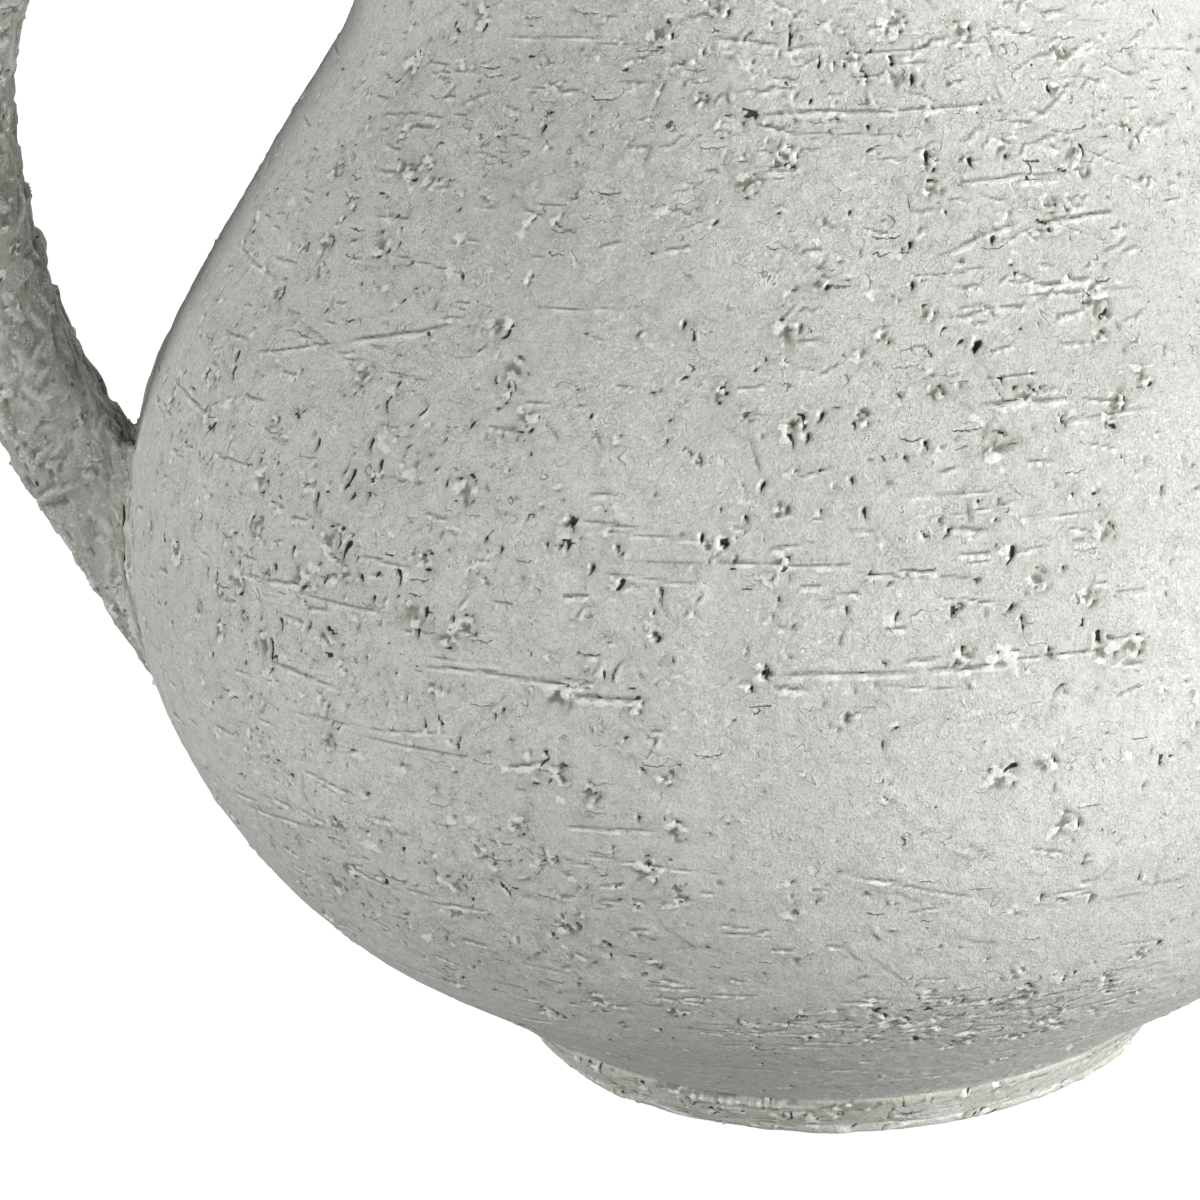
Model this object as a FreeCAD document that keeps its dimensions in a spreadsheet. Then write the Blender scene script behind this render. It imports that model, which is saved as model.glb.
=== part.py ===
import FreeCAD, Part
import math
import os
import Sketcher

# A large household botijo of pale unglazed clay: a round belly on a low foot ring, a shoulder that
# sweeps into a wide neck, a low dome with a filling mouth, a drinking spout on +X and one pulled
# handle on -X. The origin is the middle of the foot's sole, +Z is up and lengths are millimetres.
# Radii are measured from the vessel's axis. A lean is measured from the vertical, in degrees.

SIZES = {
    # Vessel body
    "belly_radius": 150,
    "belly_height": 115.5,
    "wall": 9,
    "lower_curve_share": 0.945,
    "upper_curve_radius": 105.7,
    "shoulder_lean": 34.6,
    "neck_sweep_radius": 46,
    "neck_radius": 90.5,
    "neck_length": 40,
    # Foot and base
    "foot_radius": 77,
    "foot_height": 11.5,
    "foot_taper": 5.4,
    "foot_inner_radius": 58,
    "foot_sole_round": 3,
    "foot_crease": 2,
    "base_thickness": 10,
    # Coils pressed over the inner joints
    "seam_coil_height": 30,
    "seam_coil_round": 26,
    # Dome and filling mouth
    "dome_edge_radius": 20,
    "dome_edge_turn": 68,
    "mouth_bore_radius": 17,
    "collar_wall": 10,
    "collar_height": 24,
    "lip_height": 12,
    "lip_round": 4,
    "mouth_coil_width": 9,
    "mouth_coil_height": 9,
    "mouth_coil_round": 12,
    # Drinking spout
    "spout_seat_share": 0.55,
    "spout_lift": 44,
    "spout_length": 86.4,
    "spout_root_radius": 21,
    "spout_tip_radius": 8.5,
    "spout_bore_radius": 12,
    "spout_bore_straight": 14,
    "spout_tip_bore_radius": 3,
    "spout_bead_radius": 11,
    "spout_bead_length": 9,
    "spout_bead_round": 3,
    "spout_coil_width": 9,
    "spout_coil_height": 13,
    "spout_coil_round": 30,
    # Handle
    "handle_root_rise": 2.7,
    "handle_lean": 26,
    "handle_stand_off": 27,
    "handle_bend_radius": 150,
    "handle_turn_share": 0.93,
    "handle_seat_rise": 20,
    "handle_thickness": 21,
    "handle_width": 30,
    "handle_edge_round": 8.5,
    # Clay pressed round the handle's roots
    "lower_pad_thickness": 9,
    "lower_pad_reach": 8,
    "lower_pad_rise": 28,
    "lower_pad_drop": 30,
    "lower_pad_end_drop": 6,
    "upper_pad_thickness": 7,
    "upper_pad_reach": 18,
    "pad_edge": 1.2,
    # How far a piece is drawn into the wall before the wall's own shape trims it
    "handle_overrun": 40,
    "pad_overrun": 22,
    "spout_overrun": 20,
}

# Places that follow from the sizes. A name that ends in _r is a radius from the axis, in _z a height.
PLACES = {
    # The lower wall is a straight flank that runs up from the foot and into an arc at the belly
    "lower_curve_radius": "Sizes.lower_curve_share * (Sizes.belly_height - Sizes.foot_height)",
    "lower_centre_r": "Sizes.belly_radius - lower_curve_radius",
    "foot_out": "Sizes.foot_radius - lower_centre_r",
    "foot_down": "Sizes.belly_height - Sizes.foot_height",
    "foot_span": "sqrt(foot_out * foot_out + foot_down * foot_down)",
    "lower_lean": "90deg - acos(lower_curve_radius / foot_span) - atan(foot_out / foot_down)",
    # The shoulder is a straight flank between the belly's arc and the arc that turns up into the neck
    "arcs_run": "(Sizes.upper_curve_radius + Sizes.neck_sweep_radius) * (1 - cos(Sizes.shoulder_lean))",
    "arcs_rise": "(Sizes.upper_curve_radius + Sizes.neck_sweep_radius) * sin(Sizes.shoulder_lean)",
    "shoulder_length": "(Sizes.belly_radius - Sizes.neck_radius - arcs_run) / sin(Sizes.shoulder_lean)",
    "upper_centre_r": "Sizes.belly_radius - Sizes.upper_curve_radius",
    "sweep_centre_r": "Sizes.neck_radius + Sizes.neck_sweep_radius",
    "neck_start_z": "Sizes.belly_height + arcs_rise + shoulder_length * cos(Sizes.shoulder_lean)",
    "neck_top_z": "neck_start_z + Sizes.neck_length",
    # The dome's arc has its centre on the axis
    "dome_edge_centre_r": "Sizes.neck_radius - Sizes.dome_edge_radius",
    "dome_centre_drop": "dome_edge_centre_r * tan(Sizes.dome_edge_turn)",
    "dome_centre_z": "neck_top_z - dome_centre_drop",
    "dome_radius": "Sizes.dome_edge_radius + dome_edge_centre_r / cos(Sizes.dome_edge_turn)",
    "collar_radius": "Sizes.mouth_bore_radius + Sizes.collar_wall",
    "collar_foot_z": "dome_centre_z + sqrt(dome_radius * dome_radius - collar_radius * collar_radius)",
    "collar_top_z": "collar_foot_z + Sizes.collar_height",
    "lip_roll": "Sizes.lip_height / 2",
    "mouth_coil_radius": "collar_radius + Sizes.mouth_coil_width",
    # The spout's axis leaves the wall at the seat and climbs at the lift
    "spout_seat_r": "upper_centre_r + Sizes.upper_curve_radius * cos(Sizes.shoulder_lean)"
                    " - Sizes.spout_seat_share * shoulder_length * sin(Sizes.shoulder_lean)",
    "spout_seat_z": "Sizes.belly_height + Sizes.upper_curve_radius * sin(Sizes.shoulder_lean)"
                    " + Sizes.spout_seat_share * shoulder_length * cos(Sizes.shoulder_lean)",
    "spout_taper": "(Sizes.spout_root_radius - Sizes.spout_tip_radius) / Sizes.spout_length",
    "spout_buried_radius": "Sizes.spout_root_radius + spout_taper * Sizes.spout_overrun",
    "spout_coil_top_radius": "Sizes.spout_root_radius - spout_taper * Sizes.spout_coil_height",
    # The handle's middle line: root flank, long bend, short upright, turn, run into the neck
    "handle_root_z": "Sizes.belly_height + Sizes.handle_root_rise",
    "handle_far_r": "Sizes.belly_radius + Sizes.handle_stand_off",
    "handle_bend_start_r": "handle_far_r - Sizes.handle_bend_radius * (1 - cos(Sizes.handle_lean))",
    "handle_flank_run": "handle_bend_start_r - Sizes.belly_radius",
    "handle_bend_start_z": "handle_root_z + handle_flank_run / tan(Sizes.handle_lean)",
    "handle_bend_end_z": "handle_bend_start_z + Sizes.handle_bend_radius * sin(Sizes.handle_lean)",
    "handle_top_z": "neck_start_z + Sizes.handle_seat_rise",
    "handle_turn_radius": "Sizes.handle_turn_share * (handle_top_z - handle_bend_end_z)",
    "handle_turn_start_z": "handle_top_z - handle_turn_radius",
    "handle_turn_end_r": "handle_far_r - handle_turn_radius",
    "handle_foot_r": "Sizes.belly_radius - Sizes.handle_overrun * sin(Sizes.handle_lean)",
    "handle_foot_z": "handle_root_z - Sizes.handle_overrun * cos(Sizes.handle_lean)",
    "handle_head_r": "Sizes.neck_radius - Sizes.pad_overrun",
    # Each pad tapers between a section inside the wall and one out along the handle
    "lower_pad_start_r": "Sizes.belly_radius - Sizes.pad_overrun",
    "lower_pad_end_r": "Sizes.belly_radius + Sizes.lower_pad_reach",
    "lower_pad_start_height": "Sizes.lower_pad_rise + Sizes.lower_pad_drop",
    "lower_pad_end_height": "Sizes.lower_pad_rise + Sizes.lower_pad_end_drop",
    "lower_pad_start_z": "handle_root_z + Sizes.lower_pad_rise - lower_pad_start_height / 2",
    "lower_pad_end_z": "handle_root_z + Sizes.lower_pad_rise - lower_pad_end_height / 2",
    "upper_pad_end_r": "Sizes.neck_radius + Sizes.upper_pad_reach",
}

FULL_TURN = 360
NOTHING = "0"


def make_sheet(name, rows):
    """Fill a sheet with one named value per row; a text value is a formula on other cells."""
    sheet = doc.addObject("Spreadsheet::Sheet", name)
    for row, (alias, entry) in enumerate(rows.items(), start=1):
        cell = f"B{row}"
        sheet.set(f"A{row}", alias)
        sheet.set(cell, f"={entry}" if isinstance(entry, str) else str(entry))
        sheet.setAlias(cell, alias)
    doc.recompute()
    return sheet


def value(formula):
    """The number that a formula gives for the sheets as they are."""
    return float(sizes.evalExpression(formula))


def new_body(label):
    """A sub-part of its own, whose label names its file."""
    body = doc.addObject("PartDesign::Body", label)
    body.Label = label
    body.Placement = FreeCAD.Placement()
    return body


def new_sketch(body, name, plane, lift=NOTHING):
    """A sketch on one of the body's own planes, moved along the plane's normal by a formula."""
    sketch = body.newObject("Sketcher::SketchObject", name)
    origin_plane = next(item for item in body.Origin.OriginFeatures if item.Role == plane)
    sketch.AttachmentSupport = (origin_plane, "")
    sketch.MapMode = "FlatFace"
    if lift != NOTHING:
        sketch.setExpression("AttachmentOffset.Base.z", lift)
    doc.recompute()
    return sketch


def bind(sketch, constraint, formula):
    """Add one constraint and tie its value to a formula."""
    index = sketch.addConstraint(constraint)
    sketch.setExpression(f"Constraints[{index}]", formula)


def pin(sketch, edge, end, point):
    """Hold one end of an edge at a point given by two formulas."""
    across, up = point
    if across == NOTHING:
        sketch.addConstraint(Sketcher.Constraint("PointOnObject", edge, end, -2))
    else:
        bind(sketch, Sketcher.Constraint("DistanceX", -1, 1, edge, end, value(across)), across)
    if up == NOTHING:
        sketch.addConstraint(Sketcher.Constraint("PointOnObject", edge, end, -1))
    else:
        bind(sketch, Sketcher.Constraint("DistanceY", -1, 1, edge, end, value(up)), up)


def arc_between(start, end, radius, turn):
    """The short arc from start to end; turn is left or right, as seen when going along it."""
    chord = end - start
    half = chord.Length / 2
    side = FreeCAD.Vector(-chord.y, chord.x, 0).normalize()
    if turn == "right":
        side = side.negative()
    centre = (start + end) / 2 + side * math.sqrt(radius * radius - half * half)
    first, last = (start, end) if turn == "left" else (end, start)
    angles = [math.atan2(point.y - centre.y, point.x - centre.x) for point in (first, last)]
    circle = Part.Circle(centre, FreeCAD.Vector(0, 0, 1), radius)
    return Part.ArcOfCircle(circle, *angles)


def draw(sketch, start, steps, closed=True):
    """Draw lines and arcs from point to point, with every point and radius tied to the sheets.

    A step is (point,) for a line or (point, radius, turn) for an arc.
    """
    if closed and steps[-1][0] != start:
        steps = steps + [(start,)]
    points = [start] + [step[0] for step in steps]
    spots = [FreeCAD.Vector(value(across), value(up), 0) for across, up in points]
    ends = []
    for index, step in enumerate(steps):
        if len(step) == 1:
            edge = sketch.addGeometry(Part.LineSegment(spots[index], spots[index + 1]), False)
            ends.append((edge, 1, 2))
            continue
        arc = arc_between(spots[index], spots[index + 1], value(step[1]), step[2])
        edge = sketch.addGeometry(arc, False)
        ends.append((edge, 1, 2) if step[2] == "left" else (edge, 2, 1))
    count = len(ends)
    for index in range(count if closed else count - 1):
        edge, _, last = ends[index]
        following, first, _ = ends[(index + 1) % count]
        sketch.addConstraint(Sketcher.Constraint("Coincident", edge, last, following, first))
    for (edge, first, _), point in zip(ends, points):
        pin(sketch, edge, first, point)
    if not closed:
        pin(sketch, ends[-1][0], ends[-1][2], points[-1])
    for (edge, _, _), step in zip(ends, steps):
        if len(step) > 1:
            bind(sketch, Sketcher.Constraint("Radius", edge, value(step[1])), step[1])
    doc.recompute()


def turn_about(body, kind, sketch, axis):
    """Spin a sketch about one of its axes, to add a solid or to cut one away."""
    before = 0 if kind == "Revolution" else body.Shape.Volume
    feature = body.newObject(f"PartDesign::{kind}", f"{body.Label}_{kind}_{sketch.Name}")
    feature.Profile = sketch
    feature.ReferenceAxis = (sketch, [axis])
    feature.Angle = FULL_TURN
    doc.recompute()
    changed = body.Shape.Volume - before
    if (kind == "Groove") == (changed > 0) or changed == 0:
        raise RuntimeError(f"{feature.Name} changed the volume by {changed}")


def thrown(label, start, steps):
    """A piece made on the wheel: its section spun about the vessel's axis."""
    body = new_body(label)
    sketch = new_sketch(body, f"{label}_section", "XZ_Plane")
    draw(sketch, start, steps)
    turn_about(body, "Revolution", sketch, "V_Axis")
    return body


def polar(centre_r, centre_z, radius, lift):
    """The point at a radius from a centre, lifted from the outward direction by an angle."""
    return (f"{centre_r} + {radius} * cos({lift})", f"{centre_z} + {radius} * sin({lift})")


def skin(depth):
    """Points and radii of the vessel's outer surface, or of the surface at a depth in its wall."""
    lower = f"(Places.lower_curve_radius - {depth})"
    upper = f"(Sizes.upper_curve_radius - {depth})"
    sweep = f"(Sizes.neck_sweep_radius + {depth})"
    edge = f"(Sizes.dome_edge_radius - {depth})"
    dome = f"(Places.dome_radius - {depth})"
    lean = "Sizes.shoulder_lean"
    return {
        "lower": lower,
        "upper": upper,
        "sweep": sweep,
        "edge": edge,
        "dome": dome,
        "foot": (f"Sizes.foot_radius - {depth} / cos(Places.lower_lean)", "Sizes.foot_height"),
        "flank_top": polar("Places.lower_centre_r", "Sizes.belly_height", lower, "-Places.lower_lean"),
        "belly": (f"Sizes.belly_radius - {depth}", "Sizes.belly_height"),
        "shoulder_start": polar("Places.upper_centre_r", "Sizes.belly_height", upper, lean),
        "shoulder_end": (
            f"Places.sweep_centre_r - {sweep} * cos({lean})",
            f"Places.neck_start_z - {sweep} * sin({lean})",
        ),
        "neck_start": (f"Sizes.neck_radius - {depth}", "Places.neck_start_z"),
        "neck_top": (f"Sizes.neck_radius - {depth}", "Places.neck_top_z"),
        "dome_start": polar("Places.dome_edge_centre_r", "Places.neck_top_z", edge, "Sizes.dome_edge_turn"),
        "dome_at_bore": on_dome("Sizes.mouth_bore_radius", depth),
    }


def on_dome(across, depth=NOTHING):
    """The point of the dome's surface, or of the surface at a depth in it, at a radius from the axis."""
    dome = f"(Places.dome_radius - {depth})"
    return (across, f"Places.dome_centre_z + sqrt({dome} * {dome} - {across} * {across})")


def on_spout(along, out):
    """The point at a distance along the spout's axis from its seat, and out from that axis."""
    return (
        f"Places.spout_seat_r + ({along}) * cos(Sizes.spout_lift) - ({out}) * sin(Sizes.spout_lift)",
        f"Places.spout_seat_z + ({along}) * sin(Sizes.spout_lift) + ({out}) * cos(Sizes.spout_lift)",
    )


def spout_sketch(body, name, start, steps):
    """A section beside the spout's axis, with that axis as the sketch's own construction line."""
    sketch = new_sketch(body, name, "XZ_Plane")
    draw(sketch, start, steps)
    axis_ends = (on_spout(NOTHING, NOTHING), on_spout("Sizes.spout_length", NOTHING))
    spots = [FreeCAD.Vector(value(across), value(up), 0) for across, up in axis_ends]
    axis = sketch.addGeometry(Part.LineSegment(*spots), True)
    pin(sketch, axis, 1, axis_ends[0])
    pin(sketch, axis, 2, axis_ends[1])
    doc.recompute()
    return sketch


def turned_on_spout(label, start, steps):
    """A piece that is round about the spout's axis."""
    body = new_body(label)
    sketch = spout_sketch(body, f"{label}_section", start, steps)
    turn_about(body, "Revolution", sketch, "Axis0")
    return body


def trim_to_wall(body):
    """Cut away all that lies inside the vessel's outer surface, so that the piece seats on it."""
    outer = skin(NOTHING)
    sketch = new_sketch(body, f"{body.Label}_seat", "XZ_Plane")
    steps = [
        (outer["foot"],),
        (outer["flank_top"],),
        (outer["belly"], outer["lower"], "left"),
        (outer["shoulder_start"], outer["upper"], "left"),
        (outer["shoulder_end"],),
        (outer["neck_start"], outer["sweep"], "right"),
        (outer["neck_top"],),
        ((NOTHING, "Places.neck_top_z"),),
    ]
    draw(sketch, (NOTHING, "Sizes.foot_height"), steps)
    turn_about(body, "Groove", sketch, "V_Axis")


def oval(sketch, middle_z, width, height):
    """A rounded section about X = 0, as wide and high as the two formulas say."""
    round_off = "Sizes.handle_edge_round"
    side, inner_side = f"({width}) / 2", f"(({width}) / 2 - {round_off})"
    top, inner_top = f"({middle_z} + ({height}) / 2)", f"({middle_z} + ({height}) / 2 - {round_off})"
    low, inner_low = f"({middle_z} - ({height}) / 2)", f"({middle_z} - ({height}) / 2 + {round_off})"
    steps = [
        ((inner_side, low),),
        ((side, inner_low), round_off, "left"),
        ((side, inner_top),),
        ((inner_side, top), round_off, "left"),
        ((f"-{inner_side}", top),),
        ((f"-{side}", inner_top), round_off, "left"),
        ((f"-{side}", inner_low),),
        ((f"-{inner_side}", low), round_off, "left"),
    ]
    draw(sketch, steps[-1][0], steps)


def sweep_handle(body, kind):
    """Pull the handle's section along its middle line, to add the handle or to cut its space."""
    section = new_sketch(body, f"{body.Label}_handle_section", "YZ_Plane", "-Places.handle_head_r")
    oval(section, "Places.handle_top_z", "Sizes.handle_width", "Sizes.handle_thickness")
    path = new_sketch(body, f"{body.Label}_handle_path", "XZ_Plane")
    steps = [
        (("-Places.handle_turn_end_r", "Places.handle_top_z"),),
        (("-Places.handle_far_r", "Places.handle_turn_start_z"), "Places.handle_turn_radius", "left"),
        (("-Places.handle_far_r", "Places.handle_bend_end_z"),),
        (("-Places.handle_bend_start_r", "Places.handle_bend_start_z"), "Sizes.handle_bend_radius", "left"),
        (("-Places.handle_foot_r", "Places.handle_foot_z"),),
    ]
    draw(path, ("-Places.handle_head_r", "Places.handle_top_z"), steps, closed=False)
    before = body.Shape.Volume if kind == "SubtractivePipe" else 0
    pipe = body.newObject(f"PartDesign::{kind}", f"{body.Label}_{kind}")
    pipe.Profile = section
    pipe.Spine = path
    doc.recompute()
    if (kind == "SubtractivePipe") == (body.Shape.Volume >= before):
        raise RuntimeError(f"{pipe.Name} did not change the volume as it should")


def root_pad(label, start, end):
    """Clay pressed round a root of the handle: a tapering sleeve between two sections.

    A section is (radius from the axis, height of its middle, width, height).
    """
    body = new_body(label)
    sections = []
    for place, (across, middle_z, width, height) in zip(("wall", "end"), (start, end)):
        sketch = new_sketch(body, f"{label}_{place}", "YZ_Plane", f"-{across}")
        oval(sketch, middle_z, width, height)
        sections.append(sketch)
    loft = body.newObject("PartDesign::AdditiveLoft", f"{label}_sleeve")
    loft.Profile = sections[0]
    loft.Sections = sections[1:]
    doc.recompute()
    sweep_handle(body, "SubtractivePipe")
    trim_to_wall(body)


def make_foot_and_base():
    """Foot ring under the wall, and the slab that closes the bottom inside it."""
    sole_r = "Sizes.foot_radius - Sizes.foot_taper"
    thrown("foot_ring", ("Sizes.foot_inner_radius", NOTHING), [
        ((f"{sole_r} - Sizes.foot_sole_round", NOTHING),),
        ((sole_r, "Sizes.foot_sole_round"), "Sizes.foot_sole_round", "left"),
        (("Sizes.foot_radius", "Sizes.foot_height - Sizes.foot_crease"),),
        (("Sizes.foot_radius - Sizes.foot_crease", "Sizes.foot_height"), "Sizes.foot_crease", "left"),
        (("Sizes.foot_inner_radius", "Sizes.foot_height"),),
    ])
    inner_foot_r, _ = skin("Sizes.wall")["foot"]
    slab_top = "Sizes.foot_height + Sizes.base_thickness"
    thrown("base_slab", (NOTHING, "Sizes.foot_height"), [
        ((inner_foot_r, "Sizes.foot_height"),),
        ((f"{inner_foot_r} + Sizes.base_thickness * tan(Places.lower_lean)", slab_top),),
        ((NOTHING, slab_top),),
    ])


def make_walls():
    """The vessel's thrown walls, each seated face to face on the one below."""
    outer = skin(NOTHING)
    inner = skin("Sizes.wall")
    thrown("lower_wall", inner["foot"], [
        (outer["foot"],),
        (outer["flank_top"],),
        (outer["belly"], outer["lower"], "left"),
        (inner["belly"],),
        (inner["flank_top"], inner["lower"], "right"),
    ])
    upper_wall = thrown("upper_wall", inner["belly"], [
        (outer["belly"],),
        (outer["shoulder_start"], outer["upper"], "left"),
        (outer["shoulder_end"],),
        (outer["neck_start"], outer["sweep"], "right"),
        (inner["neck_start"],),
        (inner["shoulder_end"], inner["sweep"], "left"),
        (inner["shoulder_start"],),
        (inner["belly"], inner["upper"], "right"),
    ])
    hole = spout_sketch(upper_wall, "spout_hole_section", on_spout("-Sizes.spout_overrun", NOTHING), [
        (on_spout("-Sizes.spout_overrun", "Sizes.spout_bore_radius"),),
        (on_spout("Sizes.spout_overrun", "Sizes.spout_bore_radius"),),
        (on_spout("Sizes.spout_overrun", NOTHING),),
    ])
    turn_about(upper_wall, "Groove", hole, "Axis0")
    thrown("neck_wall", inner["neck_start"], [
        (outer["neck_start"],),
        (outer["neck_top"],),
        (inner["neck_top"],),
    ])
    thrown("top_dome", inner["neck_top"], [
        (outer["neck_top"],),
        (outer["dome_start"], outer["edge"], "left"),
        (outer["dome_at_bore"], outer["dome"], "left"),
        (inner["dome_at_bore"],),
        (inner["dome_start"], inner["dome"], "right"),
        (inner["neck_top"], inner["edge"], "right"),
    ])


def make_seam_coils():
    """Coils of clay pressed over the two wall joints from the inside."""
    inner = skin("Sizes.wall")
    half = "Sizes.seam_coil_height / 2"
    low_r = f"Places.lower_centre_r + sqrt({inner['lower']} * {inner['lower']} - {half} * {half})"
    high_r = f"Places.upper_centre_r + sqrt({inner['upper']} * {inner['upper']} - {half} * {half})"
    low = (low_r, f"Sizes.belly_height - {half}")
    thrown("belly_seam_coil", low, [
        (inner["belly"], inner["lower"], "left"),
        ((high_r, f"Sizes.belly_height + {half}"), inner["upper"], "left"),
        (low, "Sizes.seam_coil_round", "left"),
    ])
    low_r = f"Places.sweep_centre_r - sqrt({inner['sweep']} * {inner['sweep']} - {half} * {half})"
    low = (low_r, f"Places.neck_start_z - {half}")
    thrown("neck_seam_coil", low, [
        (inner["neck_start"], inner["sweep"], "right"),
        ((inner["neck_start"][0], f"Places.neck_start_z + {half}"),),
        (low, "Sizes.seam_coil_round", "left"),
    ])


def make_mouth():
    """Filling mouth: collar and rolled lip on top of the dome, with clay pressed round the root."""
    outer = skin(NOTHING)
    collar_foot = on_dome("Places.collar_radius")
    collar_top = ("Places.collar_radius", "Places.collar_top_z")
    bore_top = ("Sizes.mouth_bore_radius", "Places.collar_top_z")
    thrown("mouth_collar", outer["dome_at_bore"], [
        (collar_foot, outer["dome"], "right"),
        (collar_top,),
        (bore_top,),
    ])
    roll_r = "Places.collar_radius + Places.lip_roll"
    roll_z = "Places.collar_top_z + Places.lip_roll"
    lip_top = "Places.collar_top_z + Sizes.lip_height"
    thrown("mouth_lip", bore_top, [
        (collar_top,),
        ((roll_r, roll_z), "Places.lip_roll", "left"),
        (("Places.collar_radius", lip_top), "Places.lip_roll", "left"),
        (("Sizes.mouth_bore_radius + Sizes.lip_round", lip_top),),
        (("Sizes.mouth_bore_radius", f"{lip_top} - Sizes.lip_round"), "Sizes.lip_round", "left"),
    ])
    coil_top = ("Places.collar_radius", "Places.collar_foot_z + Sizes.mouth_coil_height")
    thrown("mouth_root_coil", collar_foot, [
        (on_dome("Places.mouth_coil_radius"), outer["dome"], "right"),
        (coil_top, "Sizes.mouth_coil_round", "left"),
    ])


def make_spout():
    """Drinking spout: tapered tube with its bore, a bead at the tip and clay round the root."""
    tip_bore = on_spout("Sizes.spout_length", "Sizes.spout_tip_bore_radius")
    tip = on_spout("Sizes.spout_length", "Sizes.spout_tip_radius")
    buried = on_spout("-Sizes.spout_overrun", "Places.spout_buried_radius")
    tube = turned_on_spout("spout_tube", on_spout("-Sizes.spout_overrun", "Sizes.spout_bore_radius"), [
        (on_spout("Sizes.spout_bore_straight", "Sizes.spout_bore_radius"),),
        (tip_bore,),
        (tip,),
        (buried,),
    ])
    trim_to_wall(tube)
    far = "Sizes.spout_length + Sizes.spout_bead_length"
    rim = "Sizes.spout_bead_radius"
    rounding = "Sizes.spout_bead_round"
    turned_on_spout("spout_tip", tip_bore, [
        (on_spout(far, "Sizes.spout_tip_bore_radius"),),
        (on_spout(far, f"{rim} - {rounding}"),),
        (on_spout(f"{far} - {rounding}", rim), rounding, "left"),
        (on_spout(f"Sizes.spout_length + {rounding}", rim),),
        (on_spout("Sizes.spout_length", f"{rim} - {rounding}"), rounding, "left"),
    ])
    coil_r = "Sizes.spout_root_radius + Sizes.spout_coil_width"
    coil = turned_on_spout("spout_root_coil", buried, [
        (on_spout("Sizes.spout_coil_height", "Places.spout_coil_top_radius"),),
        (on_spout("-Sizes.spout_coil_height / 2", coil_r), "Sizes.spout_coil_round", "right"),
        (on_spout("-Sizes.spout_overrun", coil_r),),
    ])
    trim_to_wall(coil)


def make_handle():
    """One pulled handle from the belly up and over into the neck, with clay round both roots."""
    handle = new_body("handle")
    sweep_handle(handle, "AdditivePipe")
    trim_to_wall(handle)
    root_pad(
        "handle_lower_pad",
        ("Places.lower_pad_start_r", "Places.lower_pad_start_z",
         "Sizes.handle_width + 2 * Sizes.lower_pad_thickness", "Places.lower_pad_start_height"),
        ("Places.lower_pad_end_r", "Places.lower_pad_end_z",
         "Sizes.handle_width + 2 * Sizes.pad_edge", "Places.lower_pad_end_height"),
    )
    root_pad(
        "handle_upper_pad",
        ("Places.handle_head_r", "Places.handle_top_z",
         "Sizes.handle_width + 2 * Sizes.upper_pad_thickness",
         "Sizes.handle_thickness + 2 * Sizes.upper_pad_thickness"),
        ("Places.upper_pad_end_r", "Places.handle_top_z",
         "Sizes.handle_width + 2 * Sizes.pad_edge",
         "Sizes.handle_thickness + 2 * Sizes.pad_edge"),
    )


def check_and_write():
    """Stop on any failed object or shape, then write one file for each sub-part."""
    doc.recompute()
    for item in doc.Objects:
        if "Invalid" in item.State or "Error" in item.State:
            raise RuntimeError(f"{item.Name} is {item.State}")
    bodies = [item for item in doc.Objects if item.TypeId == "PartDesign::Body"]
    for body in bodies:
        shape = body.Shape
        if shape.isNull() or not shape.isValid() or len(shape.Solids) != 1:
            raise RuntimeError(f"{body.Label} is not one valid solid")
    os.makedirs("parts", exist_ok=True)
    for body in bodies:
        body.Shape.exportStep(f"parts/{body.Label}.step")
        box = body.Shape.BoundBox
        print(f"{body.Label}: {body.Shape.Volume:.0f} cubic mm, z {box.ZMin:.1f} to {box.ZMax:.1f}")


doc = FreeCAD.newDocument("Botijo")
sizes = make_sheet("Sizes", SIZES)
places = make_sheet("Places", PLACES)
make_foot_and_base()
make_walls()
make_seam_coils()
make_mouth()
make_spout()
make_handle()
check_and_write()
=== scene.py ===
import math

import bpy
import numpy as np
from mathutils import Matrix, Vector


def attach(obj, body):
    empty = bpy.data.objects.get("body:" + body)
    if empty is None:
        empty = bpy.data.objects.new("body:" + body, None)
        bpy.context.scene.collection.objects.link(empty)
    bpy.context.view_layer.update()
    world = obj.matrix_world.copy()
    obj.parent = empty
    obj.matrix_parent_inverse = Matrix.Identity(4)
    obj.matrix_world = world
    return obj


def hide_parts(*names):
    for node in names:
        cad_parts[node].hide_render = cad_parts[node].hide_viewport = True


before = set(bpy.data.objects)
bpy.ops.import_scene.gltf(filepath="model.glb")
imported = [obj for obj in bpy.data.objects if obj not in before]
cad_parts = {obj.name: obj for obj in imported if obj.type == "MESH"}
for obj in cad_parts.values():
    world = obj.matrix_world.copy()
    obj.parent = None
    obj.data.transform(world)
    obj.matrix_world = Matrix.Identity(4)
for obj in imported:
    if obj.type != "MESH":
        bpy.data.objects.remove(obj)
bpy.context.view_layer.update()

# A Spanish botijo of coarse pale clay. Each piece is a grid of points, and its relief and its
# stains are made together: a height, and shares of dark, pale, warm and torn clay and a shade at
# each point. The dark share is mostly painted shadow in cuts, holes and grooves, and the shade
# holds painted shade in hollows, painted light on raised places and broad tones. Lengths are
# millimetres, except in materials, the floor and the lights, which use metres, and where a comment
# says pixels. Angles are degrees, except the turns of a grid's columns, which are radians, or
# millimetres on the handle and the fillets. Z is up along the vessel's turning axis. The spout is
# on +X and the handle on -X.
MM = 0.001
CHANCE = np.random.default_rng(1570)
# An even draw between two values, and a draw that gathers about nought
among, sway = CHANCE.uniform, CHANCE.normal

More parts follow.
